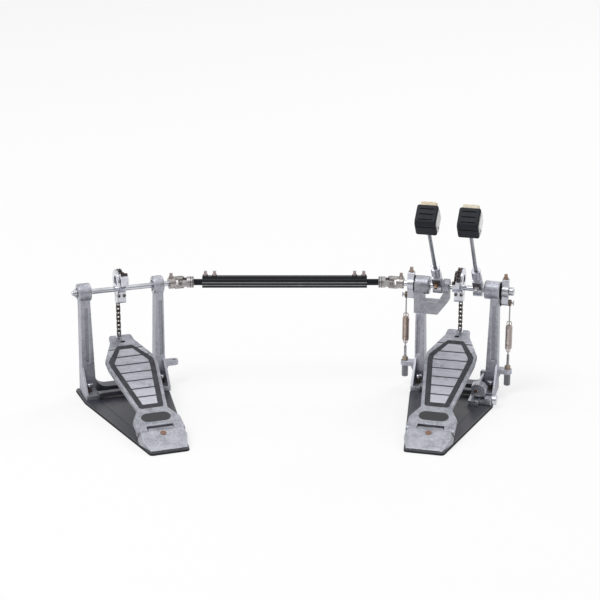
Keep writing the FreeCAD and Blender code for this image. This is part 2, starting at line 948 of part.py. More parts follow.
def chain_strand(pins, outer_first, own_first_pin, own_last_pin):
    # links between the given pin places, inner and outer plates in turn
    pieces = []
    inner = roller_width / 2
    wide = inner + chain_plate + chain_plate_gap
    loose = chain_pin_radius + slip_gap
    for index in range(len(pins) - 1):
        near = wide if (index % 2 == 0) == outer_first else inner
        hole_first = loose if index == 0 and not own_first_pin else 0
        hole_second = toe_eye_radius if index == len(pins) - 2 and not own_last_pin else 0
        for left in (near, -near - chain_plate):
            pieces.append(link_plate(pins[index], pins[index + 1], left, left + chain_plate,
                                     hole_first, hole_second))
    owned = pins if own_first_pin else pins[1:]
    owned = owned if own_last_pin else owned[:-1]
    half = chain_half_width()
    for spot in owned:
        pieces.append(bar(roller_radius, across(spot, -inner), across(spot, inner)))
        pieces.append(bar(chain_pin_radius, across(spot, -half), across(spot, half)))
    return joined(pieces)


def wrap_pins(links):
    step = math.degrees(2 * math.asin(chain_pitch / 2 / chain_radius))
    return [ring_point(step * index, chain_radius) for index in range(links + 1)]


def run_pins(run_links):
    top = ring_point(0, chain_radius)
    return [top - UP * (chain_pitch * index) for index in range(run_links + 1)]


# Beater pieces are drawn upright over the axle, then leaned back by the rest angle
def lean_back(shape):
    return turned(shape, beater_lean, V(0, 0, axle_height), RIGHT)


def beater_hub(middle):
    left = middle - hub_width / 2
    right = middle + hub_width / 2
    half = hub_block_half
    hub = axle_bar(hub_radius, left, right)
    stem = block((left, right), (-half, half), (axle_height, axle_height + hub_block_top))
    stem = round_along(stem, casting_edge, UP)
    collar = bar(hub_collar_radius, V(middle, 0, axle_height + hub_block_top - overrun),
                 V(middle, 0, axle_height + hub_collar_top))
    body = joined([hub, stem, collar])
    hole = bar(beater_rod_radius + slip_gap, V(middle, 0, axle_height + axle_radius),
               V(middle, 0, axle_height + hub_collar_top + overrun))
    key_hole = bar(key_shank_radius + slip_gap, V(middle, -half - overrun, axle_height + hub_key_height),
                   V(middle, 0, axle_height + hub_key_height))
    return body.cut(Part.makeCompound([hole, key_hole, axle_hole(left, right)]))


def hub_key(middle):
    shank = hub_block_half - beater_rod_radius - slip_gap
    return key_bolt(V(middle, -hub_block_half, axle_height + hub_key_height), -AHEAD, shank)


def beater_rod(middle):
    rod = bar(beater_rod_radius, V(middle, 0, axle_height + beater_rod_tail),
              V(middle, 0, axle_height + beater_rod_length))
    rims = [edge for edge in rod.Edges if isinstance(edge.Curve, Part.Circle)]
    return rod.makeFillet(beater_rod_radius / 4, rims)


def beater_head(middle):
    # a block with a round crown on the player's side and ribs across its end
    low = axle_height + head_low
    high = axle_height + head_high
    left = middle - head_half_width
    right = middle + head_half_width
    head = block((left, right), (-head_back, head_front), (low, high))
    corners = [edge for edge in edges_along(head, RIGHT) if not at_crown(edge, high)]
    head = head.makeFillet(head_corner, corners)
    head = head.makeFillet(head_crown, [edge for edge in edges_along(head, RIGHT) if at_crown(edge, high)])
    head = round_along(head, head_side, UP)
    cuts = [bar(beater_rod_radius + slip_gap, V(middle, 0, low - overrun),
                V(middle, 0, axle_height + beater_rod_length))]
    for index in range(head_ribs):
        y = head_front - head_rib_first - head_rib_step * index
        cuts.append(block((left + head_rib_end, right - head_rib_end),
                          (y - head_rib_width / 2, y + head_rib_width / 2),
                          (high - head_rib_depth, high + overrun)))
    cuts.append(block((left - overrun, right + overrun), (-head_back - overrun, -head_back + head_rib_depth),
                      (high - head_crown - head_rib_width, high - head_crown)))
    cuts.append(felt_pad(middle, slip_gap))
    cuts.append(side_face(middle, slip_gap))
    return head.cut(Part.makeCompound(cuts))


def at_crown(edge, high):
    spot = edge.CenterOfMass
    return abs(spot.y + head_back) < slip_gap and abs(spot.z - high) < slip_gap


def felt_pad(middle, room):
    half = head_half_width - felt_margin + room
    front = head_front + felt_thickness - felt_overlap
    low = axle_height + head_low + felt_margin - room
    high = axle_height + head_high - felt_margin + room
    pad = block((middle - half, middle + half), (head_front - felt_overlap - room, front), (low, high))
    fronts = [edge for edge in pad.Edges if edge.BoundBox.YMin > front - slip_gap]
    return pad.makeFillet(felt_corner, fronts)


def side_face(middle, room):
    left = middle + head_half_width - face_thickness / 2 - room
    high = axle_height + head_high - face_margin - head_corner / 2 + room
    low = axle_height + head_low + face_margin + head_corner / 2 - room
    half_back = head_back - face_margin - head_corner / 2 + room
    half_front = head_front - face_margin - felt_overlap + room
    plate = block((left, left + face_thickness + room), (-half_back, half_front), (low, high))
    return round_along(plate, head_corner / 2, RIGHT)


# Spring rocker on an axle's outer end, its pin, and the linkage that the spring pulls on
def rocker(near, side):
    far = near + side * rocker_width
    left, right = sorted((near, far))
    hub = axle_bar(rocker_radius, left, right)
    pin_height = axle_height - rocker_arm
    arm = block((left, right), (-rocker_arm_half_width, rocker_arm_half_width), (pin_height, axle_height))
    tip = bar(rocker_arm_half_width, V(left, 0, pin_height), V(right, 0, pin_height))
    boss = block((left, right), (-rocker_boss_half, rocker_boss_half),
                 (axle_height, axle_height + rocker_boss_top))
    boss = round_along(boss, casting_edge, RIGHT)
    pin_end = far + side * rocker_pin_length
    pin = bar(rocker_pin_radius, V(far, 0, pin_height), V(pin_end, 0, pin_height))
    head = bar(rocker_pin_head, V(pin_end, 0, pin_height),
               V(pin_end + side * rocker_pin_head_width, 0, pin_height))
    body = joined([hub, arm, tip, boss, pin, head])
    key_room = bar(key_shank_radius + slip_gap, V((left + right) / 2, 0, axle_height),
                   V((left + right) / 2, 0, axle_height + rocker_boss_top + overrun))
    return body.cut(Part.makeCompound([axle_hole(left, right), key_room]))


def rocker_key(near, side):
    middle = near + side * rocker_width / 2
    return key_bolt(V(middle, 0, axle_height + rocker_boss_top), UP, rocker_boss_top - axle_radius - slip_gap)


def ring_height():
    return axle_height - rocker_arm


def spring_top():
    return spring_low + spring_turns * spring_pitch


def spring_ring(spot):
    # the ring is a slice of a ball with a wide bore
    size = ring_radius + ring_wire
    slab = block((spot - ring_half_width, spot + ring_half_width), (-size, size),
                 (ring_height() - size, ring_height() + size))
    bore = bar(ring_radius - ring_wire, V(spot - size, 0, ring_height()), V(spot + size, 0, ring_height()))
    ring = Part.makeSphere(size, V(spot, 0, ring_height())).common(slab).cut(bore)
    foot = spring_top() - cone_turns * spring_pitch - hook_bar_radius
    shank = bar(shank_radius, V(spot, 0, foot), V(spot, 0, ring_height() - ring_radius))
    return joined([ring, shank, hook_bar(spot, foot)])


def hook_bar(spot, height):
    # the cross bar that the spring's coned end turns on
    return bar(hook_bar_radius, V(spot - hook_bar_half, 0, height), V(spot + hook_bar_half, 0, height))


def tension_rod(spot):
    # threaded below, a thin shank above with its cross bar in the spring's coned end
    top = spring_low + cone_turns * spring_pitch + hook_bar_radius
    thread = bar(tension_rod_radius, V(spot, 0, tension_rod_low), V(spot, 0, tension_neck))
    shank = bar(shank_radius, V(spot, 0, tension_neck), V(spot, 0, top))
    return joined([thread, shank, hook_bar(spot, top)])


def tension_nuts(spot):
    seat = lug_height + lug_thickness / 2
    low = lug_height - lug_thickness / 2
    room = bar(tension_rod_radius + slip_gap, V(spot, 0, 0), V(spot, 0, tension_neck))
    lock = hex_bar(lock_nut_flat, V(spot, 0, seat), V(spot, 0, seat + lock_nut_height))
    knurl = bar(knurl_nut_radius, V(spot, 0, low - knurl_nut_length), V(spot, 0, low))
    rims = [edge for edge in knurl.Edges if isinstance(edge.Curve, Part.Circle)]
    knurl = knurl.makeFillet(knurl_nut_edge, rims)
    return [lock.cut(room), knurl.cut(room)]


def biarc(start, start_way, end, end_way):
    # two arcs that leave the start and reach the end along the given directions
    chord = end - start
    ways = start_way + end_way
    a = ways.dot(ways) - 4
    b = -2 * chord.dot(ways)
    c = chord.dot(chord)
    reach = (-b - math.sqrt(b * b - 4 * a * c)) / (2 * a)
    knee = (start + start_way * reach + end - end_way * reach) * 0.5
    edges = []
    for first, corner, last in ((start, start + start_way * reach, knee), (knee, end - end_way * reach, end)):
        middle = (first + last) * 0.5
        half = (last - first).Length / 2
        bend = math.acos(min(1.0, half / (corner - first).Length))
        rise = half * math.tan(bend / 2)
        edges.append(Part.Arc(first, middle + (corner - middle).normalize() * rise, last).toShape())
    return edges


def coil_point(spot, turn):
    # helix whose radius draws in to the cone radius over the first and last turns
    edge = min(turn, spring_turns - turn) / cone_turns
    share = 1 if edge >= 1 else edge * edge * (3 - 2 * edge)
    radius = cone_radius + (spring_radius - cone_radius) * share
    angle = 2 * math.pi * turn
    return V(spot + radius * math.cos(angle), radius * math.sin(angle), spring_low + spring_pitch * turn)


def coil_way(spot, turn):
    small = 1 / 512
    low = max(0, turn - small)
    high = min(spring_turns, turn + small)
    return (coil_point(spot, high) - coil_point(spot, low)).normalize()


def coil_spring(spot):
    edges = []
    steps = spring_turns * 4
    for index in range(steps):
        low = index / 4
        high = (index + 1) / 4
        edges += biarc(coil_point(spot, low), coil_way(spot, low),
                       coil_point(spot, high), coil_way(spot, high))
    first = coil_point(spot, 0)
    last = coil_point(spot, spring_turns)
    lead = 2 * spring_wire
    start = first - coil_way(spot, 0) * lead
    finish = last + coil_way(spot, spring_turns) * lead
    edges = [Part.LineSegment(start, first).toShape()] + edges
    edges.append(Part.LineSegment(last, finish).toShape())
    path = Part.Wire(edges)
    section = Part.Wire([Part.makeCircle(spring_wire, start, coil_way(spot, 0))])
    return path.makePipeShell([section], True, False)


def coil_gap():
    # least distance between turns, measured on points of the wire's middle line
    points = [coil_point(0, step / 48) for step in range(spring_turns * 48 + 1)]
    least = None
    for index, point in enumerate(points):
        for other in points[index + 24:index + 72]:
            gap = (other - point).Length - 2 * spring_wire
            least = gap if least is None else min(least, gap)
    return least


# Universal joints: the axle's yoke, the cross and the link's yoke meet at one point
def yoke(centre, way, pin, pin_room):
    # the hub lies on the side that way points to; the two ears hold the pin
    side = way.cross(pin)
    hub = bar(yoke_radius, centre + way * yoke_ear_root, centre + way * (yoke_ear_root + yoke_length))
    rims = [edge for edge in hub.Edges if isinstance(edge.Curve, Part.Circle)]
    hub = hub.makeFillet(yoke_edge, rims)
    ears = []
    for sign in (-1, 1):
        low = centre + pin * (sign * yoke_ear_inner)
        run = pin * (sign * (yoke_ear_outer - yoke_ear_inner))
        tip = bar(yoke_ear_half, low, low + run)
        back = way * (yoke_ear_root + yoke_edge * 2)
        plate = prism([low - side * yoke_ear_half, low + side * yoke_ear_half,
                       low + side * yoke_ear_half + back, low - side * yoke_ear_half + back], run)
        ears += [tip, plate]
    body = joined([hub] + ears)
    reach = pin * (yoke_ear_outer + overrun)
    return body.cut(bar(cross_pin_radius + pin_room, centre - reach, centre + reach))


def joint_cross(centre, pin, other):
    normal = pin.cross(other)
    corner = centre - (pin + other + normal) * cross_half
    points = [corner, corner + pin * (2 * cross_half), corner + (pin + other) * (2 * cross_half),
              corner + other * (2 * cross_half)]
    pieces = [prism(points, normal * (2 * cross_half))]
    for way in (pin, other):
        pieces.append(bar(cross_pin_radius, centre - way * yoke_ear_outer, centre + way * yoke_ear_outer))
    return joined(pieces)


def yaw_way(yaw):
    return V(math.cos(math.radians(yaw)), math.sin(math.radians(yaw)), 0)


# Places of the two joint centres and of the slave pedal in the whole part's frame
main_joint = UP * axle_height - yaw_way(-main_yaw) * main_joint_reach
slave_joint = main_joint - RIGHT * link_span
slave_origin = slave_joint - yaw_way(slave_yaw) * slave_joint_reach
slave_origin.z = 0


def place_main(shape):
    return turned(shape, -main_yaw, ORIGIN, UP)


def place_slave(shape):
    shape = turned(shape, slave_yaw, ORIGIN, UP)
    shape.translate(slave_origin)
    return shape


# Drive link between the joints
def tube_ends():
    return slave_joint.x + slave_shaft_shown, main_joint.x - main_shaft_shown


def link_tube():
    left, right = tube_ends()
    middle = slave_joint.y
    tube = block((left, right), (middle - tube_half_width, middle + tube_half_width),
                 (axle_height - tube_low, axle_height + tube_high - rail_height))
    tube = round_along(tube, tube_corner, RIGHT)
    rail = block((left, right), (middle - rail_half_width, middle + rail_half_width),
                 (axle_height, axle_height + tube_high))
    rail = round_along(rail, rail_height / 4, RIGHT)
    pieces = [tube, rail]
    for height in ridge_places:
        wide = tube_half_width + ridge_height
        level = axle_height + height
        pieces.append(block((left, right), (middle - wide, middle + wide),
                            (level - ridge_half_width, level + ridge_half_width)))
    bore = bar(inner_flat / 2 / math.cos(math.pi / 6) + slip_gap, V(left - overrun, middle, axle_height),
               V(right + overrun, middle, axle_height))
    cuts = [bore]
    for x in tube_bolt_places(left, right):
        cuts.append(bar(key_shank_radius + slip_gap, V(x, middle, axle_height),
                        V(x, middle, axle_height + tube_high + overrun)))
    return joined(pieces).cut(Part.makeCompound(cuts))


def tube_bolt_places(left, right):
    first = tube_bolt_first
    second = tube_bolt_first + tube_bolt_step
    return [left + first, left + second, right - second, right - first]


def link_bolts():
    depth = tube_high - inner_flat / 2 / math.cos(math.pi / 6) - slip_gap
    spots = tube_bolt_places(*tube_ends())
    return [key_bolt(V(x, slave_joint.y, axle_height + tube_high), UP, depth) for x in spots]


def link_shaft(joint, way):
    # a hexagon shaft that slides in the tube, with the link's yoke on its outer end
    root = joint + way * (yoke_ear_root + yoke_edge)
    end = joint + way * (yoke_ear_root + yoke_length + inner_insert)
    fork = yoke(joint, way, AHEAD, loose_pin_gap)
    return fork.fuse(hex_bar(inner_flat, root + way * yoke_edge, end))


def axle_yoke(yaw, side, joint):
    way = yaw_way(yaw) * side
    reach = yoke_ear_root + yoke_length
    fork = yoke(joint, way, UP, slip_gap)
    hollow = bar(axle_radius + slip_gap, joint + way * (yoke_ear_root - overrun),
                 joint + way * (reach + overrun))
    middle = joint + way * yoke_key_reach()
    top = middle + UP * (yoke_radius + overrun)
    key = bar(key_shank_radius + slip_gap, middle, top)
    seat = bar(key_flange_radius + slip_gap, middle + UP * yoke_key_seat(), top)
    return fork.cut(Part.makeCompound([hollow, key, seat]))


def yoke_key_reach():
    return yoke_ear_root + yoke_length * yoke_key_share


def yoke_key_seat():
    return yoke_radius - key_flange / 4


def yoke_key(yaw, side, joint):
    seat = yoke_key_seat()
    foot = joint + yaw_way(yaw) * (side * yoke_key_reach()) + UP * seat
    return key_bolt(foot, UP, seat - axle_radius - slip_gap)


# Axles in each pedal's own frame
def slave_axle():
    left = -slave_left_barrel_outer - slip_gap
    right = slave_joint_reach - yoke_ear_root
    cap = axle_bar(slave_cap_radius, left - slave_cap_length, left)
    tip = axle_bar(slave_tip_radius, left - slave_cap_length - slave_tip_length, left)
    rims = [edge for edge in tip.Edges if isinstance(edge.Curve, Part.Circle)]
    tip = tip.makeFillet(slave_tip_radius / 2, rims)
    return joined([axle_bar(axle_radius, left, right), cap, tip])


def right_axle():
    left = -(bracket_eye_inner + bracket_eye_outer) / 2 + axle_end_gap / 2
    start = main_barrel_outer + rocker_gap + rocker_width + slip_gap
    cap = axle_bar(right_cap_radius, start, right_stub)
    rims = [edge for edge in cap.Edges if isinstance(edge.Curve, Part.Circle)]
    return joined([axle_bar(axle_radius, left, right_stub), cap.makeFillet(right_cap_edge, rims)])


def left_axle():
    right = -(bracket_eye_inner + bracket_eye_outer) / 2 - axle_end_gap / 2
    return axle_bar(axle_radius, yoke_ear_root - main_joint_reach, right)


def rocker_spacer(start, end):
    left, right = sorted((start, end))
    ring = axle_bar(rocker_spacer_radius, left, right)
    arm = block((left, right), (-rocker_arm_half_width, rocker_arm_half_width),
                (ring_height() - rocker_arm_half_width, axle_height))
    return ring.fuse(arm).cut(axle_hole(left, right))


# Hoop clamp
def clamp_base():
    floor = base_top + panel_rise
    low = block((clamp_left, clamp_right), (-clamp_back, -clamp_front), (floor, floor + clamp_base_height))
    side = block((clamp_side_left, clamp_side_right), (-clamp_side_back, -clamp_side_front),
                 (floor, floor + clamp_side_height))
    bridge = block((clamp_right - casting_edge, clamp_side_left + casting_edge),
                   (-clamp_side_back + casting_edge, -clamp_side_front - casting_edge),
                   (floor, floor + clamp_bridge_height))
    post = block((clamp_pivot - clamp_post_half, clamp_pivot + clamp_post_half),
                 (-clamp_grip_front + seat_gap, -clamp_front),
                 (floor, clamp_pivot_height + clamp_post_half))
    body = joined([round_along(low, casting_edge, UP), round_along(side, casting_edge / 2, UP), bridge, post])
    hole = bar(clamp_rod_radius + slip_gap, V(clamp_pivot, -clamp_back, clamp_pivot_height),
               V(clamp_pivot, 0, clamp_pivot_height))
    screw = thumb_bar(clamp_screw_radius + slip_gap, clamp_side_left + overrun, clamp_side_right + overrun)
    return body.cut(Part.makeCompound([hole, screw]))


def thumb_bar(radius, left, right):
    spot = V(0, -(clamp_side_back + clamp_side_front) / 2, base_top + thumb_lift)
    return bar(radius, across(spot, left), across(spot, right))


def clamp_rod_room():
    # passage for the clamp's rod through the foot of the frame's window
    half = post_depth / 2 + overrun
    return bar(clamp_rod_radius + seat_gap, V(clamp_pivot, -half, clamp_pivot_height),
               V(clamp_pivot, half, clamp_pivot_height))


def clamp_jaw():
    # a D shaped grip on a rod that runs through the frame's foot to the finger that bears on the hoop
    across_line = clamp_pivot + clamp_arc_offset
    level = clamp_pivot_height - clamp_arc_drop
    near = -clamp_grip_back
    far = -clamp_grip_front
    grip = bar(clamp_arc_radius, V(across_line, near, level), V(across_line, far, level))
    flat = clamp_pivot_height - clamp_flat_drop
    size = clamp_arc_radius * 2
    grip = grip.common(block((clamp_pivot - clamp_grip_left, clamp_pivot + size),
                             (near - overrun, far + overrun), (flat, flat + size)))
    rod = bar(clamp_rod_radius, V(clamp_pivot, near - rivet_stand, clamp_pivot_height),
              V(clamp_pivot, clamp_finger_end, clamp_pivot_height))
    finger = block((clamp_pivot - clamp_finger_half, clamp_pivot + clamp_finger_half),
                   (clamp_finger_start, clamp_finger_end),
                   (clamp_pivot_height - clamp_finger_reach, clamp_pivot_height + clamp_finger_half))
    finger = round_along(finger, casting_edge, AHEAD)
    return joined([grip, rod, finger])


def clamp_screw():
    # a thumb screw in the side block, with a thick round head outside it
    start = clamp_side_right + seat_gap
    head = thumb_bar(thumb_radius, start, start + thumb_width)
    rims = [edge for edge in head.Edges if isinstance(edge.Curve, Part.Circle)]
    shank = thumb_bar(clamp_screw_radius, clamp_side_left + overrun + slip_gap, start + overrun)
    return joined([head.makeFillet(thumb_edge, rims), shank])


# Every node of the part: a list of solids in the whole part's frame
nodes = {}


def add(place, name, *solids):
    nodes[name] = [place(solid) for solid in solids]


def here(shape):
    return shape


def add_pedal(place, name, side, base, casting, run_links):
    add(place, name + "_base_pad", base_pad(*base))
    add(place, name + "_base_plate", base_plate(*base))
    add(place, name + "_frame", casting)
    add(place, name + "_heel_plate", heel_plate())
    add(place, name + "_hinge_pin", hinge_pin())
    add(place, name + "_footboard", set_board(footboard(run_links, side), run_links))
    inserts = [grip_solid(run_links, slip_gap), badge_solid(0, badge_rise)]
    add(place, name + "_footboard_inserts", *[set_board(piece, run_links) for piece in inserts])
    # the run's last link has outer plates, which straddle the toe lug
    outer_first = run_links % 2 == 1
    run = chain_strand(run_pins(run_links), outer_first, False, False)
    add(place, name + "_chain_run", moved_aside(run, side))


slave_barrels = [(-slave_left_barrel_outer, -slave_barrel_inner), (slave_barrel_inner, slave_barrel_outer)]
main_barrels = [(main_barrel_inner, main_barrel_outer)]
main_holes = [bracket_bolt(slip_gap), clamp_rod_room()]
main_posts = (plain_post, main_right_post)
slave_posts = (slave_left_post, plain_post)
main_casting = frame_casting(main_barrels, (bracket_foot, axle_height), (-1, 1), main_holes, main_posts)
slave_casting = frame_casting(slave_barrels, (axle_height, axle_height), (1,), [], slave_posts)
add_pedal(place_main, "main", 1, (main_left_base, main_right_base), main_casting, main_run_links)
add_pedal(place_slave, "slave", -1, (slave_left_base, slave_right_base), slave_casting, slave_run_links)

slave_rings = [place for barrel in slave_barrels for place in bearing_places(*barrel)]
add(place_slave, "slave_bearings", *[bearing(left, right, bearing_radius) for left, right in slave_rings])
bracket_barrel = (-bracket_barrel_outer, -bracket_barrel_inner)
main_rings = bearing_places(*main_barrels[0]) + bearing_places(*bracket_barrel)
add(place_main, "main_bearings", bracket_bush(),
    *[bearing(left, right, bearing_radius) for left, right in main_rings])
add(place_main, "main_offset_bracket", offset_bracket())
main_spurs = [spur_bolt(-1, main_posts[0]), spur_bolt(1, main_posts[1])]
slave_spurs = [spur_bolt(-1, slave_posts[0]), spur_bolt(1, slave_posts[1])]
add(place_main, "main_fasteners", heel_bolt(0), bracket_bolt(0), *main_spurs)
add(place_slave, "slave_fasteners", heel_bolt(0), *slave_spurs)

main_cam_keys = [moved_aside(cam_screw(way, 0), 1) for way in (-1, 1)]
slave_cam_keys = [moved_aside(cam_screw(way, 0), -1) for way in (-1, 1)]
add(place_slave, "slave_axle", slave_axle())
slave_cam = [drive_cam(-1), chain_clip(-1, slave_clip_start, slave_clip_end)]
add(place_slave, "slave_cam", *[moved_aside(piece, -1) for piece in slave_cam])
slave_wrap = chain_strand(wrap_pins(slave_wrap_links), slave_run_links % 2 == 0, True, True)
add(place_slave, "slave_chain_wrap", moved_aside(slave_wrap, -1))
nodes["slave_yoke"] = [axle_yoke(slave_yaw, -1, slave_joint)]
add(place_slave, "slave_axle_bolts", *slave_cam_keys)
nodes["slave_axle_bolts"].append(yoke_key(slave_yaw, -1, slave_joint))

rocker_near = main_barrel_outer + rocker_gap
rocker_far = bracket_barrel_outer + rocker_gap / 2
add(place_main, "right_axle", right_axle())
main_cam = [drive_cam(1), chain_clip(1, main_clip_start, main_clip_end)]
add(place_main, "right_cam", *[moved_aside(piece, 1) for piece in main_cam])
main_wrap = chain_strand(wrap_pins(main_wrap_links), main_run_links % 2 == 0, True, True)
add(place_main, "right_chain_wrap", moved_aside(main_wrap, 1))
add(place_main, "right_beater_hub", lean_back(beater_hub(beater_spread)))
add(place_main, "right_rocker", rocker(rocker_near, 1))
add(place_main, "right_axle_bolts", lean_back(hub_key(beater_spread)), rocker_key(rocker_near, 1),
    rocker_spacer(main_barrel_outer + seat_gap, rocker_near), *main_cam_keys)
add(place_main, "left_axle", left_axle())
add(place_main, "left_beater_hub", lean_back(beater_hub(-beater_spread)))
add(place_main, "left_rocker", rocker(-rocker_far, -1))
add(place_main, "left_axle_bolts", lean_back(hub_key(-beater_spread)), rocker_key(-rocker_far, -1),
    rocker_spacer(-bracket_barrel_outer - seat_gap, -rocker_far))
nodes["left_yoke"] = [axle_yoke(-main_yaw, 1, main_joint)]
nodes["left_axle_bolts"].append(yoke_key(-main_yaw, 1, main_joint))

for side_name, middle in (("left", -beater_spread), ("right", beater_spread)):
    add(place_main, side_name + "_beater_rod", lean_back(beater_rod(middle)))
    add(place_main, side_name + "_beater_head", lean_back(beater_head(middle)))
    add(place_main, side_name + "_beater_felt", lean_back(felt_pad(middle, 0)))
    add(place_main, side_name + "_beater_face", lean_back(side_face(middle, 0)))

for side_name, spot in (("left", -lug_spread), ("right", lug_spread)):
    add(place_main, side_name + "_spring_ring", spring_ring(spot))
    add(place_main, side_name + "_spring", coil_spring(spot))
    add(place_main, side_name + "_spring_tensioner", tension_rod(spot), *tension_nuts(spot))

add(here, "main_joint_cross", joint_cross(main_joint, UP, AHEAD))
add(here, "slave_joint_cross", joint_cross(slave_joint, UP, AHEAD))
add(here, "link_tube", link_tube())
add(here, "link_bolts", *link_bolts())
add(here, "link_shaft_left", link_shaft(slave_joint, RIGHT))
add(here, "link_shaft_right", link_shaft(main_joint, -RIGHT))

add(place_main, "clamp_base", clamp_base())
add(place_main, "clamp_jaw", clamp_jaw())
add(place_main, "clamp_screw", clamp_screw())

os.makedirs("parts", exist_ok=True)
for name, solids in nodes.items():
    shape = solids[0] if len(solids) == 1 else Part.makeCompound(solids)
    shape.exportStep("parts/" + name + ".step")
    print(name, len(shape.Solids), shape.isValid(), round(shape.Volume))
print("nodes", len(nodes))
print("least gap between spring turns", round(coil_gap(), 3))
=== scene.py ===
import json
import math

import bpy
import numpy as np
from mathutils import Matrix, Vector


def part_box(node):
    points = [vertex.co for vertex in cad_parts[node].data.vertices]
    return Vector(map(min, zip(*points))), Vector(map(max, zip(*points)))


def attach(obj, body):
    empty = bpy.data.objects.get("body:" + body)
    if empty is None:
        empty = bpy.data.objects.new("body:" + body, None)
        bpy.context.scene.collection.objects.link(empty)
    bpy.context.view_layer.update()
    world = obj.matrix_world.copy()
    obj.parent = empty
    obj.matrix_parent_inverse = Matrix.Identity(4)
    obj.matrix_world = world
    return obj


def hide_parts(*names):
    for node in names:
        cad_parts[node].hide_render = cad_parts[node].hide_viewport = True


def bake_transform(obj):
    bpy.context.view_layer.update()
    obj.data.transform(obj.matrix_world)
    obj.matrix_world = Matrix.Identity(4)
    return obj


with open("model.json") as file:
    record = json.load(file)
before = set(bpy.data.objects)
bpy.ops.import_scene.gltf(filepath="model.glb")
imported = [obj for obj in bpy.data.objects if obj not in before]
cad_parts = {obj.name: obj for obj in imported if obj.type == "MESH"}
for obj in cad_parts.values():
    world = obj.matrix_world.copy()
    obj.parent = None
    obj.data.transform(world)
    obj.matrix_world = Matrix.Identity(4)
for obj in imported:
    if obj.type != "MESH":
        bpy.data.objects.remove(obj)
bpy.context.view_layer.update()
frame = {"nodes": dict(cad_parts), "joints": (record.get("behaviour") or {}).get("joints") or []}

joints = {joint["name"]: joint for joint in frame["joints"]}
nodes = frame["nodes"]
up = Vector((0.0, 0.0, 1.0))


def corners(node):
    mesh = nodes[node].data
    points = np.empty(len(mesh.vertices) * 3)
    mesh.vertices.foreach_get("co", points)
    return points.reshape(-1, 3)


def localBox(node, matrix):
    # lowest and highest corner of a node along the axes of a placed frame
    inverse = np.array(matrix.inverted())
    points = corners(node) @ inverse[:3, :3].T + inverse[:3, 3]
    return points.min(axis=0), points.max(axis=0)


def under(level, depths):
    return [level - depth for depth in depths]


def placed(origin, right, ahead, square):
    turn = Matrix((right, ahead, square)).transposed().to_4x4()
    return Matrix.Translation(origin) @ turn


# Frames of the two pedals, read from their axle joints: right along the axle, ahead to the drum
class PedalFrame:
    def __init__(self, axleJoint, hingeJoint, board, grip):
        self.axle = Vector(joints[axleJoint]["pos_m"])
        self.right = -Vector(joints[axleJoint]["axis"]).normalized()
        self.ahead = up.cross(self.right)
        self.hinge = Vector(joints[hingeJoint]["pos_m"])
        self.matrix = placed(Vector((self.axle.x, self.axle.y, 0.0)), self.right, self.ahead, up)
        points = corners(grip)
        along = (points - np.array(self.hinge)) @ np.array(self.ahead)
        slope = np.polyfit(along, points[:, 2] - self.hinge.z, 1)[0]
        self.tilt = math.atan(slope)
        toe = self.ahead * math.cos(self.tilt) + up * math.sin(self.tilt)
        self.boardMatrix = placed(self.hinge, self.right, toe, self.right.cross(toe))
        self.boardTop = localBox(grip, self.boardMatrix)[1][2]
        self.toeReach = localBox(board, self.boardMatrix)[1][1]


mainPedal = PedalFrame("right_axle_turn", "main_footboard_hinge", "main_footboard", "main_footboard_inserts")
slavePedal = PedalFrame("slave_axle_turn", "slave_footboard_hinge", "slave_footboard",
                        "slave_footboard_inserts")
rodWay = Vector(joints["right_beater_height"]["axis"]).normalized()
beaterMatrix = placed(mainPedal.axle, mainPedal.right, rodWay.cross(mainPedal.right), rodWay)
boardLeans = [round(math.degrees(pedal.tilt), 1) for pedal in (mainPedal, slavePedal)]
print("frames read, boards lean", boardLeans)


# Shader maths: a value wraps an output socket, so sums of sockets read like ordinary sums
class Value:
    def __init__(self, graph, socket):
        self.graph = graph
        self.socket = socket

    def maths(self, operation, *others):
        return self.graph.node("ShaderNodeMath", (self,) + others, operation=operation)

    def reflected(self, operation, other):
        return self.graph.node("ShaderNodeMath", (other, self), operation=operation)

    def __add__(self, other):
        return self.maths("ADD", other)

    def __radd__(self, other):
        return self.reflected("ADD", other)

    def __sub__(self, other):
        return self.maths("SUBTRACT", other)

    def __rsub__(self, other):
        return self.reflected("SUBTRACT", other)

    def __mul__(self, other):
        return self.maths("MULTIPLY", other)

    def __rmul__(self, other):
        return self.reflected("MULTIPLY", other)

    def __truediv__(self, other):
        return self.maths("DIVIDE", other)

    def __abs__(self):
        return self.maths("ABSOLUTE")

    def sine(self):
        return self.maths("SINE")

    def root(self):
        return self.maths("SQRT")

    def atLeast(self, other):
        return self.maths("MAXIMUM", other)

    def ramp(self, low, high):
        # smooth step from 0 at low to 1 at high
        return self.graph.node("ShaderNodeMapRange", (self, low, high, 0.0, 1.0),
                               interpolation_type="SMOOTHSTEP", clamp=True)

    def band(self, low, high, soft):
        return self.ramp(low - soft, low + soft) * (1.0 - self.ramp(high - soft, high + soft))


class Graph:
    def __init__(self, tree):
        self.tree = tree
        tree.nodes.clear()

    def node(self, kind, inputs=(), out=0, **settings):
        made = self.tree.nodes.new(kind)
        for key, value in settings.items():
            setattr(made, key, value)
        named = inputs.items() if isinstance(inputs, dict) else enumerate(inputs)
        for key, value in named:
            self.feed(made.inputs[key], value)
        return Value(self, made.outputs[out]) if made.outputs else None

    def feed(self, socket, value):
        if isinstance(value, Value):
            self.tree.links.new(value.socket, socket)
        elif socket.type == "RGBA":
            socket.default_value = tuple(value) + (1.0,)
        else:
            socket.default_value = value

    def axes(self, vector):
        split = self.node("ShaderNodeSeparateXYZ", (vector,)).socket.node
        return [Value(self, socket) for socket in split.outputs]

    def mix(self, factor, first, second):
        # sockets 6 and 7 of a Mix node are its two colours
        return self.node("ShaderNodeMix", {0: factor, 6: first, 7: second}, 2, data_type="RGBA")


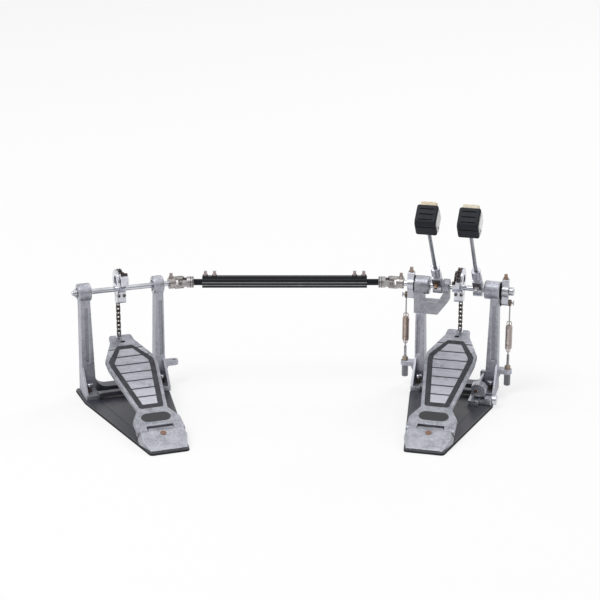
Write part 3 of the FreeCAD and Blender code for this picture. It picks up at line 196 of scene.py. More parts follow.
class Paint(Graph):
    def __init__(self, name, **constants):
        self.material = bpy.data.materials.new(name)
        self.material.use_nodes = True
        super().__init__(self.material.node_tree)
        surface = self.node("ShaderNodeBsdfPrincipled")
        self.shader = surface.socket.node
        self.node("ShaderNodeOutputMaterial", {"Surface": surface})
        self.point = self.node("ShaderNodeTexCoord", out="Object")
        self.set(**constants)

    def set(self, **inputs):
        # keys are the shader's socket names without spaces
        names = {socket.name.replace(" ", ""): socket for socket in self.shader.inputs}
        for key, value in inputs.items():
            self.feed(names[key], value)

    def inFrame(self, matrix):
        # coordinates in metres along the axes of a placed frame
        x, y, z = self.axes(self.point)
        return [x * row[0] + y * row[1] + z * row[2] + row[3] for row in matrix.inverted()[:3]]

    def noise(self, scale, detail=4.0, rough=0.55, vector=None, shift=0.0):
        moved = self.node("ShaderNodeVectorMath", (vector or self.point, (shift, shift * 0.7, -shift)),
                          operation="ADD")
        return self.node("ShaderNodeTexNoise", {"Vector": moved, "Scale": scale, "Detail": detail,
                                                "Roughness": rough})

    def cells(self, scale):
        return self.node("ShaderNodeTexVoronoi", {"Vector": self.point, "Scale": scale})

    def joined(self, x, y, z):
        return self.node("ShaderNodeCombineXYZ", (x, y, z))

    def edges(self, radius):
        # a normal rounded over the edges, and how far it leans from the plain one
        worn = {"samples": 6, "lean": (0.03, 0.20)}
        soft = self.node("ShaderNodeBevel", {"Radius": radius}, samples=worn["samples"])
        plain = self.node("ShaderNodeNewGeometry", out="True Normal")
        lean = self.node("ShaderNodeVectorMath", (soft, plain), "Value", operation="DOT_PRODUCT")
        return soft, (1.0 - lean).ramp(*worn["lean"])

    def cooled(self, colour):
        # greys and blacks lean slightly to blue
        tint = (0.985, 0.99, 1.06)
        return self.node("ShaderNodeMix", {0: 1.0, 6: colour, 7: tint}, 2, data_type="RGBA",
                         blend_type="MULTIPLY")

    def bump(self, height, distance, normal=None):
        inputs = {"Height": height, "Distance": distance, "Strength": 1.0}
        if normal:
            inputs["Normal"] = normal
        self.set(Normal=self.node("ShaderNodeBump", inputs))

    def wear(self, tones, scale, shift=0.0):
        # three tones laid over each other by broad and fine noise
        cloud = {"detail": 5.0, "rough": 0.62, "span": (0.35, 0.66)}
        speck = {"finer": 5.0, "detail": 3.0, "rough": 0.6, "aside": 3.0, "span": (0.42, 0.68), "share": 0.55}
        broad = self.noise(scale, cloud["detail"], cloud["rough"], shift=shift).ramp(*cloud["span"])
        fine = self.noise(scale * speck["finer"], speck["detail"], speck["rough"],
                          shift=shift + speck["aside"]).ramp(*speck["span"])
        colour = self.mix(fine * speck["share"], self.mix(broad, tones[0], tones[1]), tones[2])
        return colour, broad, fine


def dress(paint, *names):
    for name in names:
        nodes[name].data.materials.clear()
        nodes[name].data.materials.append(paint.material)


# Cast light metal: mottled grey with worn bright edges, dark grains and a dull bloom; on the frames, painted
# shade low down and in the post channels
def castMetal(name, tones, dark, shift, framePedal=None):
    look = {"rough": 0.37, "broadRough": 0.16, "fineRough": 0.08, "edgeShine": 0.1, "edge": 0.0016,
            "edgeTone": (0.74, 0.745, 0.76), "edgeShare": 0.75, "cloud": 48.0, "pit": 330.0,
            "pitSpan": (0.10, 0.30), "soil": 26.0, "soilSpan": (0.45, 0.7), "soilShare": 0.7,
            "skin": 520.0, "grain": 0.00012}
    crossbar = {"rise": (0.020, 0.045), "aside": (0.050, 0.062), "share": 0.62}
    foot = {"rise": (0.004, 0.050), "share": 0.20}
    channel = {"aside": (0.0664, 0.0736, 0.0003), "rise": (0.0655, 0.1725, 0.001),
               "face": (-0.0096, -0.0094), "share": 0.22}
    paint = Paint(name, Metallic=0.88)
    colour, broad, fine = paint.wear(tones, look["cloud"], shift)
    pits = 1.0 - paint.cells(look["pit"]).ramp(*look["pitSpan"])
    soft, edge = paint.edges(look["edge"])
    soil = paint.noise(look["soil"], 3.0, shift=shift + 5.0).ramp(*look["soilSpan"])
    colour = paint.mix(pits * (0.25 + soil * 0.75) * look["soilShare"], colour, dark)
    colour = paint.mix(edge * look["edgeShare"], colour, look["edgeTone"])
    if framePedal:
        # painted shade over the low crossbar between the posts and over the feet, and painted shade in a
        # shallow channel down the middle of each post
        x, y, z = paint.inFrame(framePedal.matrix)
        low = (1.0 - z.ramp(*crossbar["rise"])) * (1.0 - abs(x).ramp(*crossbar["aside"]))
        lowShade = low * crossbar["share"] + (1.0 - z.ramp(*foot["rise"])) * foot["share"]
        colour = paint.mix(lowShade, colour, dark)
        # painted shade in the channel down each post
        sunkShade = abs(x).band(*channel["aside"]) * z.band(*channel["rise"])
        sunkShade = sunkShade * (1.0 - y.ramp(*channel["face"]))
        colour = paint.mix(sunkShade * channel["share"], colour, dark)
    rough = look["rough"] + broad * look["broadRough"] + fine * look["fineRough"] - edge * look["edgeShine"]
    paint.set(BaseColor=paint.cooled(colour), Roughness=rough)
    paint.bump(paint.noise(look["skin"], 3.0, 0.6) + pits * 0.5, look["grain"], soft)
    return paint


silverTones = ((0.33, 0.335, 0.355), (0.50, 0.505, 0.525), (0.62, 0.625, 0.64))
heelTones = ((0.31, 0.315, 0.33), (0.45, 0.455, 0.47), (0.56, 0.562, 0.57))
bracketTones = ((0.28, 0.283, 0.295), (0.43, 0.433, 0.445), (0.54, 0.542, 0.55))
# dark tone for grime in the pits, and for the painted shade low on the frames and in the post channels
frameGrimeAndShade = (0.085, 0.085, 0.092)
heelGrime = (0.07, 0.068, 0.068)
bracketGrime = (0.05, 0.048, 0.047)
dress(castMetal("castMainFrame", silverTones, frameGrimeAndShade, 0.0, mainPedal), "main_frame")
dress(castMetal("castSlaveFrame", silverTones, frameGrimeAndShade, 1.0, slavePedal), "slave_frame")
dress(castMetal("castHeel", heelTones, heelGrime, 2.0), "main_heel_plate", "slave_heel_plate")
dress(castMetal("castBracket", bracketTones, bracketGrime, 4.0), "main_offset_bracket")


# Footboards: speckled cast rim, brushed bars inside the grip, painted shade in the toe pocket and on the
# underside
def boardMetal(name, pedal):
    # places along the board count from the hinge, or from the toe where they are named back
    size = {"gripLow": 0.065, "gripBack": 0.041, "half": 0.0365, "heelHalf": 0.017, "wideBack": 0.093,
            "barLow": 0.070, "barBack": 0.046, "bars": 7, "line": (0.0015, 0.0021), "endSoft": 0.0005,
            "sideSpan": (-0.0004, 0.0004), "flare": (-0.05, 1.05), "topDepth": (0.009, 0.006),
            "underDepth": (0.0105, 0.0085), "pocketBack": (0.0262, 0.0202), "pocketHalf": (0.0040, 0.0043),
            "pocketSoft": 0.0002, "heelBars": (0.075, 0.155), "edge": 0.0014}
    tone = {"rim": ((0.27, 0.275, 0.29), (0.42, 0.425, 0.44), (0.55, 0.555, 0.57)),
            "pit": (0.075, 0.072, 0.072), "edge": (0.64, 0.645, 0.66), "bar": (0.36, 0.365, 0.38),
            "barShine": (0.61, 0.615, 0.63), "heelBar": (0.74, 0.745, 0.76), "scuff": (0.20, 0.20, 0.208),
            "smear": (0.045, 0.045, 0.048), "pocket": (0.030, 0.028, 0.028), "under": (0.06, 0.058, 0.058)}
    grain = {"cloud": 60.0, "pit": 300.0, "pitSpan": (0.10, 0.32), "stroke": (70.0, 1300.0, 200.0),
             "strokeSpan": (0.3, 0.7), "scuff": 42.0, "scuffSpan": (0.56, 0.70), "skin": 500.0,
             "height": 0.00012}
    paint = Paint(name, Metallic=0.88)
    x, y, z = paint.inFrame(pedal.boardMatrix)
    top = z.ramp(*under(pedal.boardTop, size["topDepth"]))
    wideStart = pedal.toeReach - size["wideBack"]
    share = (y - size["gripLow"]) / (wideStart - size["gripLow"])
    reach = size["heelHalf"] + share.ramp(*size["flare"]) * (size["half"] - size["heelHalf"])
    inside = y.band(size["gripLow"], pedal.toeReach - size["gripBack"], size["endSoft"])
    inside = inside * (1.0 - (abs(x) - reach).ramp(*size["sideSpan"])) * top
    colour, broad, fine = paint.wear(tone["rim"], grain["cloud"])
    pits = 1.0 - paint.cells(grain["pit"]).ramp(*grain["pitSpan"])
    colour = paint.mix(pits * 0.55, colour, tone["pit"])
    soft, edge = paint.edges(size["edge"])
    colour = paint.mix(edge * 0.6, colour, tone["edge"])
    lengthwise = [part * scale for part, scale in zip((x, y, z), grain["stroke"])]
    strokes = paint.noise(1.0, 3.0, 0.6, paint.joined(*lengthwise))
    brushed = paint.mix(strokes.ramp(*grain["strokeSpan"]), tone["bar"], tone["barShine"])
    brushed = paint.mix((1.0 - y.ramp(*size["heelBars"])) * 0.4, brushed, tone["heelBar"])
    scuffs = paint.noise(grain["scuff"], 5.0, 0.7).ramp(*grain["scuffSpan"])
    brushed = paint.mix(scuffs * 0.65, brushed, tone["scuff"])
    # bars darker near their edges, along the lines between them
    pitch = (pedal.toeReach - size["barBack"] - size["barLow"]) / size["bars"]
    nearLine = ((y - size["barLow"]) / pitch).maths("PINGPONG", 0.5) * pitch
    smear = 1.0 - nearLine.ramp(*size["line"])
    brushed = paint.mix(smear * 0.85, brushed, tone["smear"])
    colour = paint.mix(inside, colour, brushed)
    # painted shade in the toe pocket
    pocket = y.band(*under(pedal.toeReach, size["pocketBack"]), size["pocketSoft"])
    pocket = pocket * (1.0 - abs(x).ramp(*size["pocketHalf"]))
    colour = paint.mix(pocket * 0.9, colour, tone["pocket"])
    # painted shade on the underside of the board
    shaded = 1.0 - z.ramp(*under(pedal.boardTop, size["underDepth"]))
    colour = paint.mix(shaded * 0.55, colour, tone["under"])
    paint.set(BaseColor=paint.cooled(colour), Roughness=0.40 + broad * 0.12 + fine * 0.06 - inside * 0.05)
    height = paint.noise(grain["skin"], 3.0, 0.6) * (1.0 - inside) + strokes * inside * 0.5
    paint.bump(height, grain["height"], soft)
    return paint


dress(boardMetal("mainBoardMetal", mainPedal), "main_footboard")
dress(boardMetal("slaveBoardMetal", slavePedal), "slave_footboard")


# Grip rubber with a worn grey top, and a blank oval badge with a paler rim
def gripRubber(name, pedal):
    badge = {"middle": 0.033, "straight": 0.0145, "plateEdge": (0.0124, 0.0132),
             "rim": (0.0106, 0.0112, 0.0002)}
    tone = {"rubber": (0.017, 0.017, 0.022), "dust": (0.053, 0.054, 0.066), "edge": (0.12, 0.12, 0.125),
            "blank": (0.012, 0.012, 0.014), "blankPale": (0.030, 0.030, 0.034), "rim": (0.10, 0.10, 0.105)}
    grain = {"dust": 70.0, "dustSpan": (0.40, 0.72), "blank": 900.0, "blankSpan": (0.3, 0.7),
             "skin": 1100.0, "height": 0.00010, "edge": 0.0012}
    paint = Paint(name)
    x, y = paint.inFrame(pedal.boardMatrix)[:2]
    across = (abs(x) - badge["straight"]).atLeast(0.0)
    along = y - badge["middle"]
    fromMiddle = (across * across + along * along).root()
    plate = 1.0 - fromMiddle.ramp(*badge["plateEdge"])
    rim = fromMiddle.band(*badge["rim"])
    dust = paint.noise(grain["dust"], 5.0, 0.65).ramp(*grain["dustSpan"])
    soft, edge = paint.edges(grain["edge"])
    rubber = paint.mix(dust, tone["rubber"], tone["dust"])
    rubber = paint.mix(edge * 0.5, rubber, tone["edge"])
    flecks = paint.noise(grain["blank"], 2.0).ramp(*grain["blankSpan"])
    blank = paint.mix(flecks, tone["blank"], tone["blankPale"])
    blank = paint.mix(rim * 0.6, blank, tone["rim"])
    paint.set(BaseColor=paint.cooled(paint.mix(plate, rubber, blank)),
              Roughness=0.62 - plate * 0.30 + dust * 0.15)
    paint.bump(paint.noise(grain["skin"], 2.0), grain["height"], soft)
    return paint


dress(gripRubber("mainGripRubber", mainPedal), "main_footboard_inserts")
dress(gripRubber("slaveGripRubber", slavePedal), "slave_footboard_inserts")


# Painted base plate with scuffs, and the rubber pad under it
def plateCoat(name, shift):
    look = {"scuff": 34.0, "scuffSpan": (0.52, 0.72), "dust": 420.0, "dustSpan": (0.45, 0.75), "skin": 620.0,
            "height": 0.00007, "edge": 0.0010}
    tone = {"paint": (0.028, 0.029, 0.037), "scuff": (0.105, 0.107, 0.125), "dust": (0.18, 0.18, 0.20),
            "edge": (0.11, 0.11, 0.115)}
    paint = Paint(name, CoatRoughness=0.25)
    scuffs = paint.noise(look["scuff"], 6.0, 0.7, shift=shift).ramp(*look["scuffSpan"])
    dust = paint.noise(look["dust"], 3.0, 0.6, shift=shift).ramp(*look["dustSpan"])
    soft, edge = paint.edges(look["edge"])
    colour = paint.mix(scuffs * 0.6, tone["paint"], tone["scuff"])
    colour = paint.mix(dust * 0.22, colour, tone["dust"])
    colour = paint.mix(edge * 0.5, colour, tone["edge"])
    paint.set(BaseColor=paint.cooled(colour), Roughness=0.34 + scuffs * 0.22, CoatWeight=0.35 - scuffs * 0.2)
    paint.bump(paint.noise(look["skin"], 3.0), look["height"], soft)
    return paint


def padRubber():
    look = {"ribs": 5200.0, "dust": 90.0, "dustSpan": (0.45, 0.7), "skin": 700.0, "height": 0.00015}
    tone = {"rubber": (0.008, 0.008, 0.009), "dust": (0.030, 0.030, 0.032)}
    paint = Paint("padRubber")
    ribs = (paint.axes(paint.point)[2] * look["ribs"]).sine()
    dust = paint.noise(look["dust"], 5.0).ramp(*look["dustSpan"])
    paint.set(BaseColor=paint.mix(dust, tone["rubber"], tone["dust"]), Roughness=0.75 + dust * 0.12)
    paint.bump(ribs + paint.noise(look["skin"], 3.0), look["height"])
    return paint


dress(plateCoat("mainPlateCoat", 0.0), "main_base_plate")
dress(plateCoat("slavePlateCoat", 6.0), "slave_base_plate")
dress(padRubber(), "main_base_pad", "slave_base_pad")
print("castings, boards and bases dressed")


# Bare and plated steel: clean metal, a brown bloom laid over part of it and dark grime
class Steel(Paint):
    def __init__(self, name, clean, bloom, rough, share, scale=90.0, edgeShare=0.5):
        look = {"cloud": 0.45, "cloudSpan": (0.3, 0.75), "shade": 0.74, "fine": 9.0, "edge": 0.0009,
                "edgeTone": (0.78, 0.775, 0.77), "grimeRough": 0.3, "fineRough": 0.09}
        super().__init__(name, Metallic=0.96)
        grime = self.noise(scale, 6.0, 0.68).ramp(0.62 - share * 0.3, 0.80 - share * 0.25)
        cloud = self.noise(scale * look["cloud"], 4.0, 0.6, shift=2.0).ramp(*look["cloudSpan"])
        fine = self.noise(scale * look["fine"], 3.0, 0.6)
        self.soft, edge = self.edges(look["edge"])
        colour = self.mix(cloud, clean, tuple(tone * look["shade"] for tone in clean))
        colour = self.mix(grime * share, colour, bloom)
        self.colour = self.mix(edge * edgeShare, colour, look["edgeTone"])
        self.rough = rough + grime * share * look["grimeRough"] + fine * look["fineRough"]
        self.height = fine

    def over(self, mask, tone, rough=None):
        # lay another tone over the metal where the mask is 1
        laid = {"speckle": 620.0, "span": (0.35, 0.7), "shade": 0.75, "usualRough": 0.25}
        speckle = self.noise(laid["speckle"], 3.0, 0.6).ramp(*laid["span"])
        speckled = self.mix(speckle, tuple(part * laid["shade"] for part in tone), tone)
        self.colour = self.mix(mask, self.colour, speckled)
        if rough is not None:
            self.rough = self.rough + mask * (rough - laid["usualRough"])

    def close(self, *names, distance=0.00005):
        self.set(BaseColor=self.cooled(self.colour), Roughness=self.rough)
        self.bump(self.height, distance, self.soft)
        dress(self, *names)

    def onAxle(self, pedal):
        # coordinates from the middle of a pedal's axle: aside, ahead and up
        return self.inFrame(placed(pedal.axle, pedal.right, pedal.ahead, up))


black = (0.012, 0.012, 0.013)
soot = (0.030, 0.028, 0.027)
brown = (0.075, 0.050, 0.034)
rust = (0.155, 0.085, 0.050)
brass = (0.36, 0.27, 0.15)
pinkSteel = (0.42, 0.35, 0.32)
linkBloom = (0.20, 0.15, 0.11)
rodSteel = (0.32, 0.325, 0.335)
crossSteel = (0.30, 0.29, 0.28)
chainSteel = (0.085, 0.072, 0.060)
yokeNickel = (0.50, 0.475, 0.44)
yokeBloom = (0.20, 0.145, 0.105)
nickel = (0.55, 0.53, 0.50)
lightMetal = (0.60, 0.605, 0.615)
zinc = (0.68, 0.685, 0.69)
chrome = (0.72, 0.725, 0.735)

Steel("axleSteel", zinc, brown, 0.16, 0.28, 60.0).close("right_axle", "left_axle", "slave_axle")
Steel("rodChrome", rodSteel, brown, 0.14, 0.22, 70.0).close("right_beater_rod", "left_beater_rod")
Steel("rockerZinc", lightMetal, brown, 0.26, 0.30).close("right_rocker", "left_rocker")
Steel("pinSteel", nickel, brown, 0.28, 0.55, 140.0).close("main_hinge_pin", "slave_hinge_pin")


def camLook(name, pedal, camSide, inner, grime, node):
    # chrome, with oily grime on the upper rim towards the link; grime says how far aside and up it starts
    oily = {"tone": (0.060, 0.048, 0.040), "rough": 0.4, "asideSoft": 0.0006, "lowSoft": 0.001}
    metal = Steel(name, chrome, soot, 0.12, 0.30, 110.0)
    x, _, z = metal.onAxle(pedal)
    aside, low = grime
    lowShade = ((x - camSide) * inner).ramp(aside, aside + oily["asideSoft"])
    metal.over(lowShade * z.ramp(low, low + oily["lowSoft"]), oily["tone"], oily["rough"])
    metal.close(node)


mainCamSide = 0.003
slaveCamSide = -0.003
camLook("mainCamChrome", mainPedal, mainCamSide, -1.0, (0.0036, 0.013), "right_cam")
camLook("slaveCamChrome", slavePedal, slaveCamSide, 1.0, (-0.003, 0.030), "slave_cam")


def hubMetal():
    # light metal with painted shade in the recess round the key
    recess = {"along": (0.013, 0.0335, 0.0005), "face": (-0.0094, -0.0088), "tone": (0.15, 0.147, 0.147),
              "rough": 0.45}
    metal = Steel("hubMetal", lightMetal, soot, 0.28, 0.35)
    ahead, along = metal.inFrame(beaterMatrix)[1:]
    # painted shade in the recess round the key
    sunkShade = along.band(*recess["along"]) * (1.0 - ahead.ramp(*recess["face"]))
    metal.over(sunkShade, recess["tone"], recess["rough"])
    metal.close("right_beater_hub", "left_beater_hub")


def ringLook():
    # dark bronze ring with a bright shank
    shank = {"top": (0.1708, 0.1720), "share": 0.85, "tone": (0.56, 0.55, 0.53)}
    metal = Steel("ringSteel", (0.20, 0.155, 0.11), brown, 0.30, 0.6, 160.0, 0.75)
    height = metal.axes(metal.point)[2]
    metal.over((1.0 - height.ramp(*shank["top"])) * shank["share"], shank["tone"])
    metal.close("right_spring_ring", "left_spring_ring")


hubMetal()
ringLook()


def bearingLook(name, pedal, bearings):
    # steel ring with a dark shield between two radii
    shield = {"radii": (0.0066, 0.0102, 0.0003), "rough": 0.5}
    metal = Steel(name, (0.58, 0.585, 0.59), soot, 0.20, 0.25)
    y, z = metal.onAxle(pedal)[1:]
    metal.over((y * y + z * z).root().band(*shield["radii"]), soot, shield["rough"])
    metal.close(bearings)


bearingLook("mainBearing", mainPedal, "main_bearings")
bearingLook("slaveBearing", slavePedal, "slave_bearings")


def axleBolts(name, pedal, keyTone, hubTone, camSide, bolts):
    # cam screws with painted shade in their sockets and bright rims, tarnished keys, black spacers beside the
    # rockers
    key = {"rise": (0.012, 0.014), "rough": 0.30}
    hubKey = {"face": (-0.0105, -0.0098), "aside": (0.018, 0.020), "rough": 0.30}
    socket = {"aside": 0.005, "drop": 0.010, "radius": (0.0023, 0.0026), "face": (-0.012, -0.011),
              "rough": 0.5}
    spacer = {"inner": 0.0788, "outer": 0.0818, "soft": 0.0002, "rough": 0.6}
    metal = Steel(name, nickel, brown, 0.24, 0.45, 150.0)
    x, y, z = metal.onAxle(pedal)
    metal.over(z.ramp(*key["rise"]), keyTone, key["rough"])
    facing = 1.0 - metal.inFrame(beaterMatrix)[1].ramp(*hubKey["face"])
    metal.over(facing * abs(x).ramp(*hubKey["aside"]), hubTone, hubKey["rough"])
    # painted shade in the screw sockets
    over = abs(x - camSide) - socket["aside"]
    drop = z + socket["drop"]
    hollowShade = 1.0 - (over * over + drop * drop).root().ramp(*socket["radius"])
    metal.over(hollowShade * (1.0 - y.ramp(*socket["face"])), black, socket["rough"])
    beside = (abs(x) - spacer["inner"]).ramp(0.0, spacer["soft"])
    metal.over(beside * (1.0 - (abs(x) - spacer["outer"]).ramp(0.0, spacer["soft"])), black, spacer["rough"])
    metal.close(bolts)


rightKeys = ((0.36, 0.25, 0.17), (0.60, 0.57, 0.54))
leftKeys = ((0.40, 0.31, 0.25), (0.36, 0.23, 0.14))
slaveKeys = ((0.47, 0.33, 0.26), pinkSteel)
axleBolts("rightAxleBolts", mainPedal, *rightKeys, mainCamSide, "right_axle_bolts")
axleBolts("leftAxleBolts", mainPedal, *leftKeys, 0.0, "left_axle_bolts")
axleBolts("slaveAxleBolts", slavePedal, *slaveKeys, slaveCamSide, "slave_axle_bolts")
Steel("yokeNickel", yokeNickel, yokeBloom, 0.24, 0.60, 120.0).close("left_yoke", "slave_yoke")
Steel("crossSteel", crossSteel, soot, 0.30, 0.6, 160.0).close("main_joint_cross", "slave_joint_cross")


def linkShaft(name, jointName, node):
    # black hexagon shaft, and a nickel yoke with two dark grooves within reach of the joint's middle
    groove = {"inner": (0.0178, 0.0188, 0.0002), "outer": (0.0222, 0.0232, 0.0002), "rough": 0.5}
    shaft = {"from": (0.0240, 0.0245), "tone": (0.020, 0.021, 0.025), "rough": 0.35}
    metal = Steel(name, (0.50, 0.48, 0.455), linkBloom, 0.24, 0.50, 120.0)
    middle = Vector(joints[jointName]["pos_m"])
    along = abs(metal.inFrame(Matrix.Translation(middle))[0])
    metal.over(along.band(*groove["inner"]) + along.band(*groove["outer"]), soot, groove["rough"])
    metal.over(along.ramp(*shaft["from"]), shaft["tone"], shaft["rough"])
    metal.close(node)


linkShaft("linkShaftLeft", "slave_joint_pin", "link_shaft_left")
linkShaft("linkShaftRight", "main_joint_pin", "link_shaft_right")


def linkTube():
    # slate black paint with scuffs, and two painted highlight lines along the ridges
    ridge = {"low": (0.1959, 0.1973, 0.0003), "high": (0.2011, 0.2025, 0.0003)}
    tone = {"paint": (0.004, 0.005, 0.008), "scuff": (0.014, 0.016, 0.021), "ridge": (0.42, 0.43, 0.45),
            "edge": (0.08, 0.085, 0.095)}
    grain = {"scuff": 60.0, "scuffSpan": (0.52, 0.72), "skin": 500.0, "height": 0.00004, "edge": 0.0008}
    paint = Paint("linkTubePaint", CoatRoughness=0.15, SpecularIORLevel=0.3)
    height = paint.axes(paint.point)[2]
    highlightLines = height.band(*ridge["low"]) + height.band(*ridge["high"])
    scuffs = paint.noise(grain["scuff"], 5.0, 0.7).ramp(*grain["scuffSpan"])
    soft, edge = paint.edges(grain["edge"])
    colour = paint.mix(scuffs * 0.4, tone["paint"], tone["scuff"])
    # painted highlight along the two ridges
    colour = paint.mix(highlightLines * (0.65 + scuffs * 0.3), colour, tone["ridge"])
    colour = paint.mix(edge * 0.25, colour, tone["edge"])
    paint.set(BaseColor=colour, Roughness=0.42 + scuffs * 0.2, CoatWeight=0.08 + scuffs * 0.05)
    paint.bump(paint.noise(grain["skin"], 3.0), grain["height"], soft)
    dress(paint, "link_tube")


def linkBolts():
    # dull keys: pinkish tops on dark stems
    stem = {"top": (0.2135, 0.2150), "share": 0.8, "rough": 0.45}
    metal = Steel("linkBolts", pinkSteel, brown, 0.28, 0.40, 150.0)
    height = metal.axes(metal.point)[2]
    metal.over((1.0 - height.ramp(*stem["top"])) * stem["share"], soot, stem["rough"])
    metal.close("link_bolts")


linkTube()
linkBolts()


def fasteners(name, pedal, node):
    # rust brown heel bolt, chrome spur heads on brown stems
    heel = {"behind": (-0.12, -0.11), "tone": (0.30, 0.185, 0.135), "rough": 0.45}
    stem = {"ahead": (-0.11, -0.10), "top": (0.024, 0.026), "share": 0.9, "tone": (0.12, 0.070, 0.042),
            "rough": 0.45}
    metal = Steel(name, chrome, brown, 0.18, 0.35, 150.0)
    y, z = metal.inFrame(pedal.matrix)[1:]
    metal.over(1.0 - y.ramp(*heel["behind"]), heel["tone"], heel["rough"])
    stems = y.ramp(*stem["ahead"]) * (1.0 - z.ramp(*stem["top"]))
    metal.over(stems * stem["share"], stem["tone"], stem["rough"])
    metal.close(node)


fasteners("mainFasteners", mainPedal, "main_fasteners")
fasteners("slaveFasteners", slavePedal, "slave_fasteners")


def tensionerLook():
    # bright threaded rod, tan lock nut, pale knurled nut
    size = {"thread": (0.0556, 0.0775, 0.0005), "lock": (0.0482, 0.0552, 0.0003),
            "knurl": (0.0160, 0.0397, 0.0003), "depth": 0.0004}
    look = {"share": 0.85, "lockRough": 0.32, "knurlTone": (0.40, 0.405, 0.41), "knurlRough": 0.40,
            "flutes": 5200.0, "fluteSpan": (0.1, 0.7), "fluteShare": 0.55, "turns": 6283.0,
            "turnSpan": (0.0, 0.6), "turnShare": 0.5, "grooveRough": 0.4}
    metal = Steel("tensionerSteel", (0.62, 0.62, 0.615), brown, 0.18, 0.40, 160.0)
    x, y, z = metal.axes(metal.point)
    thread = z.band(*size["thread"])
    lock = z.band(*size["lock"])
    knurl = z.band(*size["knurl"])
    metal.over(lock * look["share"], brass, look["lockRough"])
    metal.over(knurl * look["share"], look["knurlTone"], look["knurlRough"])
    turns = (z * look["turns"]).sine() * thread
    flutes = ((x + y) * look["flutes"]).sine() * ((x - y) * look["flutes"]).sine() * knurl
    metal.over(knurl * flutes.ramp(*look["fluteSpan"]) * look["fluteShare"], soot, look["grooveRough"])
    metal.over(thread * turns.ramp(*look["turnSpan"]) * look["turnShare"], soot, look["grooveRough"])
    metal.height = turns * 0.7 + flutes + metal.height * 0.2
    metal.close("right_spring_tensioner", "left_spring_tensioner", distance=size["depth"])


tensionerLook()


# Hoop clamp: chromed block and grip, rusty rod end, painted shade low down under the grip
def clampLook(name, node, rodTone=None):
    rod = {"aside": 0.0505, "rise": 0.0285, "radius": (0.0033, 0.0036), "face": (-0.0782, -0.0778),
           "rough": 0.5}
    hollowShade = {"top": (0.0060, 0.0095), "share": 0.25, "rough": 0.4}
    metal = Steel(name, (0.70, 0.705, 0.72), soot, 0.22, 0.12, 60.0)
    metal.set(Metallic=0.88)
    x, y, z = metal.inFrame(mainPedal.matrix)
    if rodTone:
        sideways, rise = x - rod["aside"], z - rod["rise"]
        end = 1.0 - (sideways * sideways + rise * rise).root().ramp(*rod["radius"])
        metal.over(end * (1.0 - y.ramp(*rod["face"])), rodTone, rod["rough"])
    # painted shade low down, under the grip
    metal.over((1.0 - z.ramp(*hollowShade["top"])) * hollowShade["share"], soot, hollowShade["rough"])
    metal.close(node)


clampLook("clampBaseChrome", "clamp_base")
clampLook("clampGripChrome", "clamp_jaw", rust)
clampLook("clampScrewChrome", "clamp_screw")
oilyChain = Steel("chainSteel", chainSteel, brown, 0.32, 0.65, 170.0, 0.35)
oilyChain.close("main_chain_run", "slave_chain_run", "right_chain_wrap", "slave_chain_wrap")


# Beater heads: blue black rubbery plastic with paler worn edges, and a white striking face
def headLook():
    tone = {"plastic": (0.004, 0.005, 0.010), "cloud": (0.010, 0.011, 0.019), "edge": (0.055, 0.062, 0.072)}
    grain = {"cloud": 60.0, "cloudSpan": (0.4, 0.7), "skin": 520.0, "height": 0.00010, "edge": 0.0012}
    paint = Paint("headPlastic")
    cloud = paint.noise(grain["cloud"], 5.0, 0.65).ramp(*grain["cloudSpan"])
    soft, edge = paint.edges(grain["edge"])
    colour = paint.mix(cloud, tone["plastic"], tone["cloud"])
    colour = paint.mix(edge * 0.35, colour, tone["edge"])
    paint.set(BaseColor=colour, Roughness=0.55 + cloud * 0.18, SpecularIORLevel=0.35)
    paint.bump(paint.noise(grain["skin"], 4.0), grain["height"], soft)
    dress(paint, "right_beater_head", "left_beater_head")


def faceLook():
    tone = {"plastic": (0.80, 0.80, 0.79), "streak": (0.50, 0.50, 0.50)}
    grain = {"streak": 120.0, "streakSpan": (0.50, 0.72), "skin": 400.0, "height": 0.00007, "edge": 0.0010}
    slit = {"ahead": 0.003, "lean": 0.28, "width": (-0.0024, 0.0024, 0.0004), "topSoft": 0.001}
    paint = Paint("facePlastic")
    streak = paint.noise(grain["streak"], 4.0, 0.65).ramp(*grain["streakSpan"])
    soft = paint.edges(grain["edge"])[0]
    colour = paint.mix(streak * 0.6, tone["plastic"], tone["streak"])
    # painted shade of a slit slants down the lower half, towards the drum
    low, high = localBox("right_beater_face", beaterMatrix)
    middle = (low[2] + high[2]) / 2.0
    y, z = paint.inFrame(beaterMatrix)[1:]
    slant = (y - (low[1] + slit["ahead"])) + (z - middle) * slit["lean"]
    slitShade = slant.band(*slit["width"]) * (1.0 - z.ramp(middle, middle + slit["topSoft"]))
    colour = paint.mix(slitShade, colour, black)
    paint.set(BaseColor=colour, Roughness=0.38 + streak * 0.2)
    paint.bump(paint.noise(grain["skin"], 3.0), grain["height"], soft)
    dress(paint, "right_beater_face", "left_beater_face")


headLook()
faceLook()
print("steel, link, clamp and beaters dressed")


# Mesh helpers for the new pieces: whole grids of points, faces by index sums
def gridFaces(rows, columns, closedRows, closedColumns):
    row = np.arange(rows if closedRows else rows - 1)[:, None]
    column = np.arange(columns if closedColumns else columns - 1)[None, :]
    nextRow, nextColumn = (row + 1) % rows, (column + 1) % columns
    quads = (row * columns + column, row * columns + nextColumn,
             nextRow * columns + nextColumn, nextRow * columns + column)
    return np.stack(np.broadcast_arrays(*quads), axis=-1).reshape(-1, 4)


def capFaces(ring, pole):
    return np.stack((ring, np.roll(ring, -1), np.full(len(ring), pole)), axis=1)


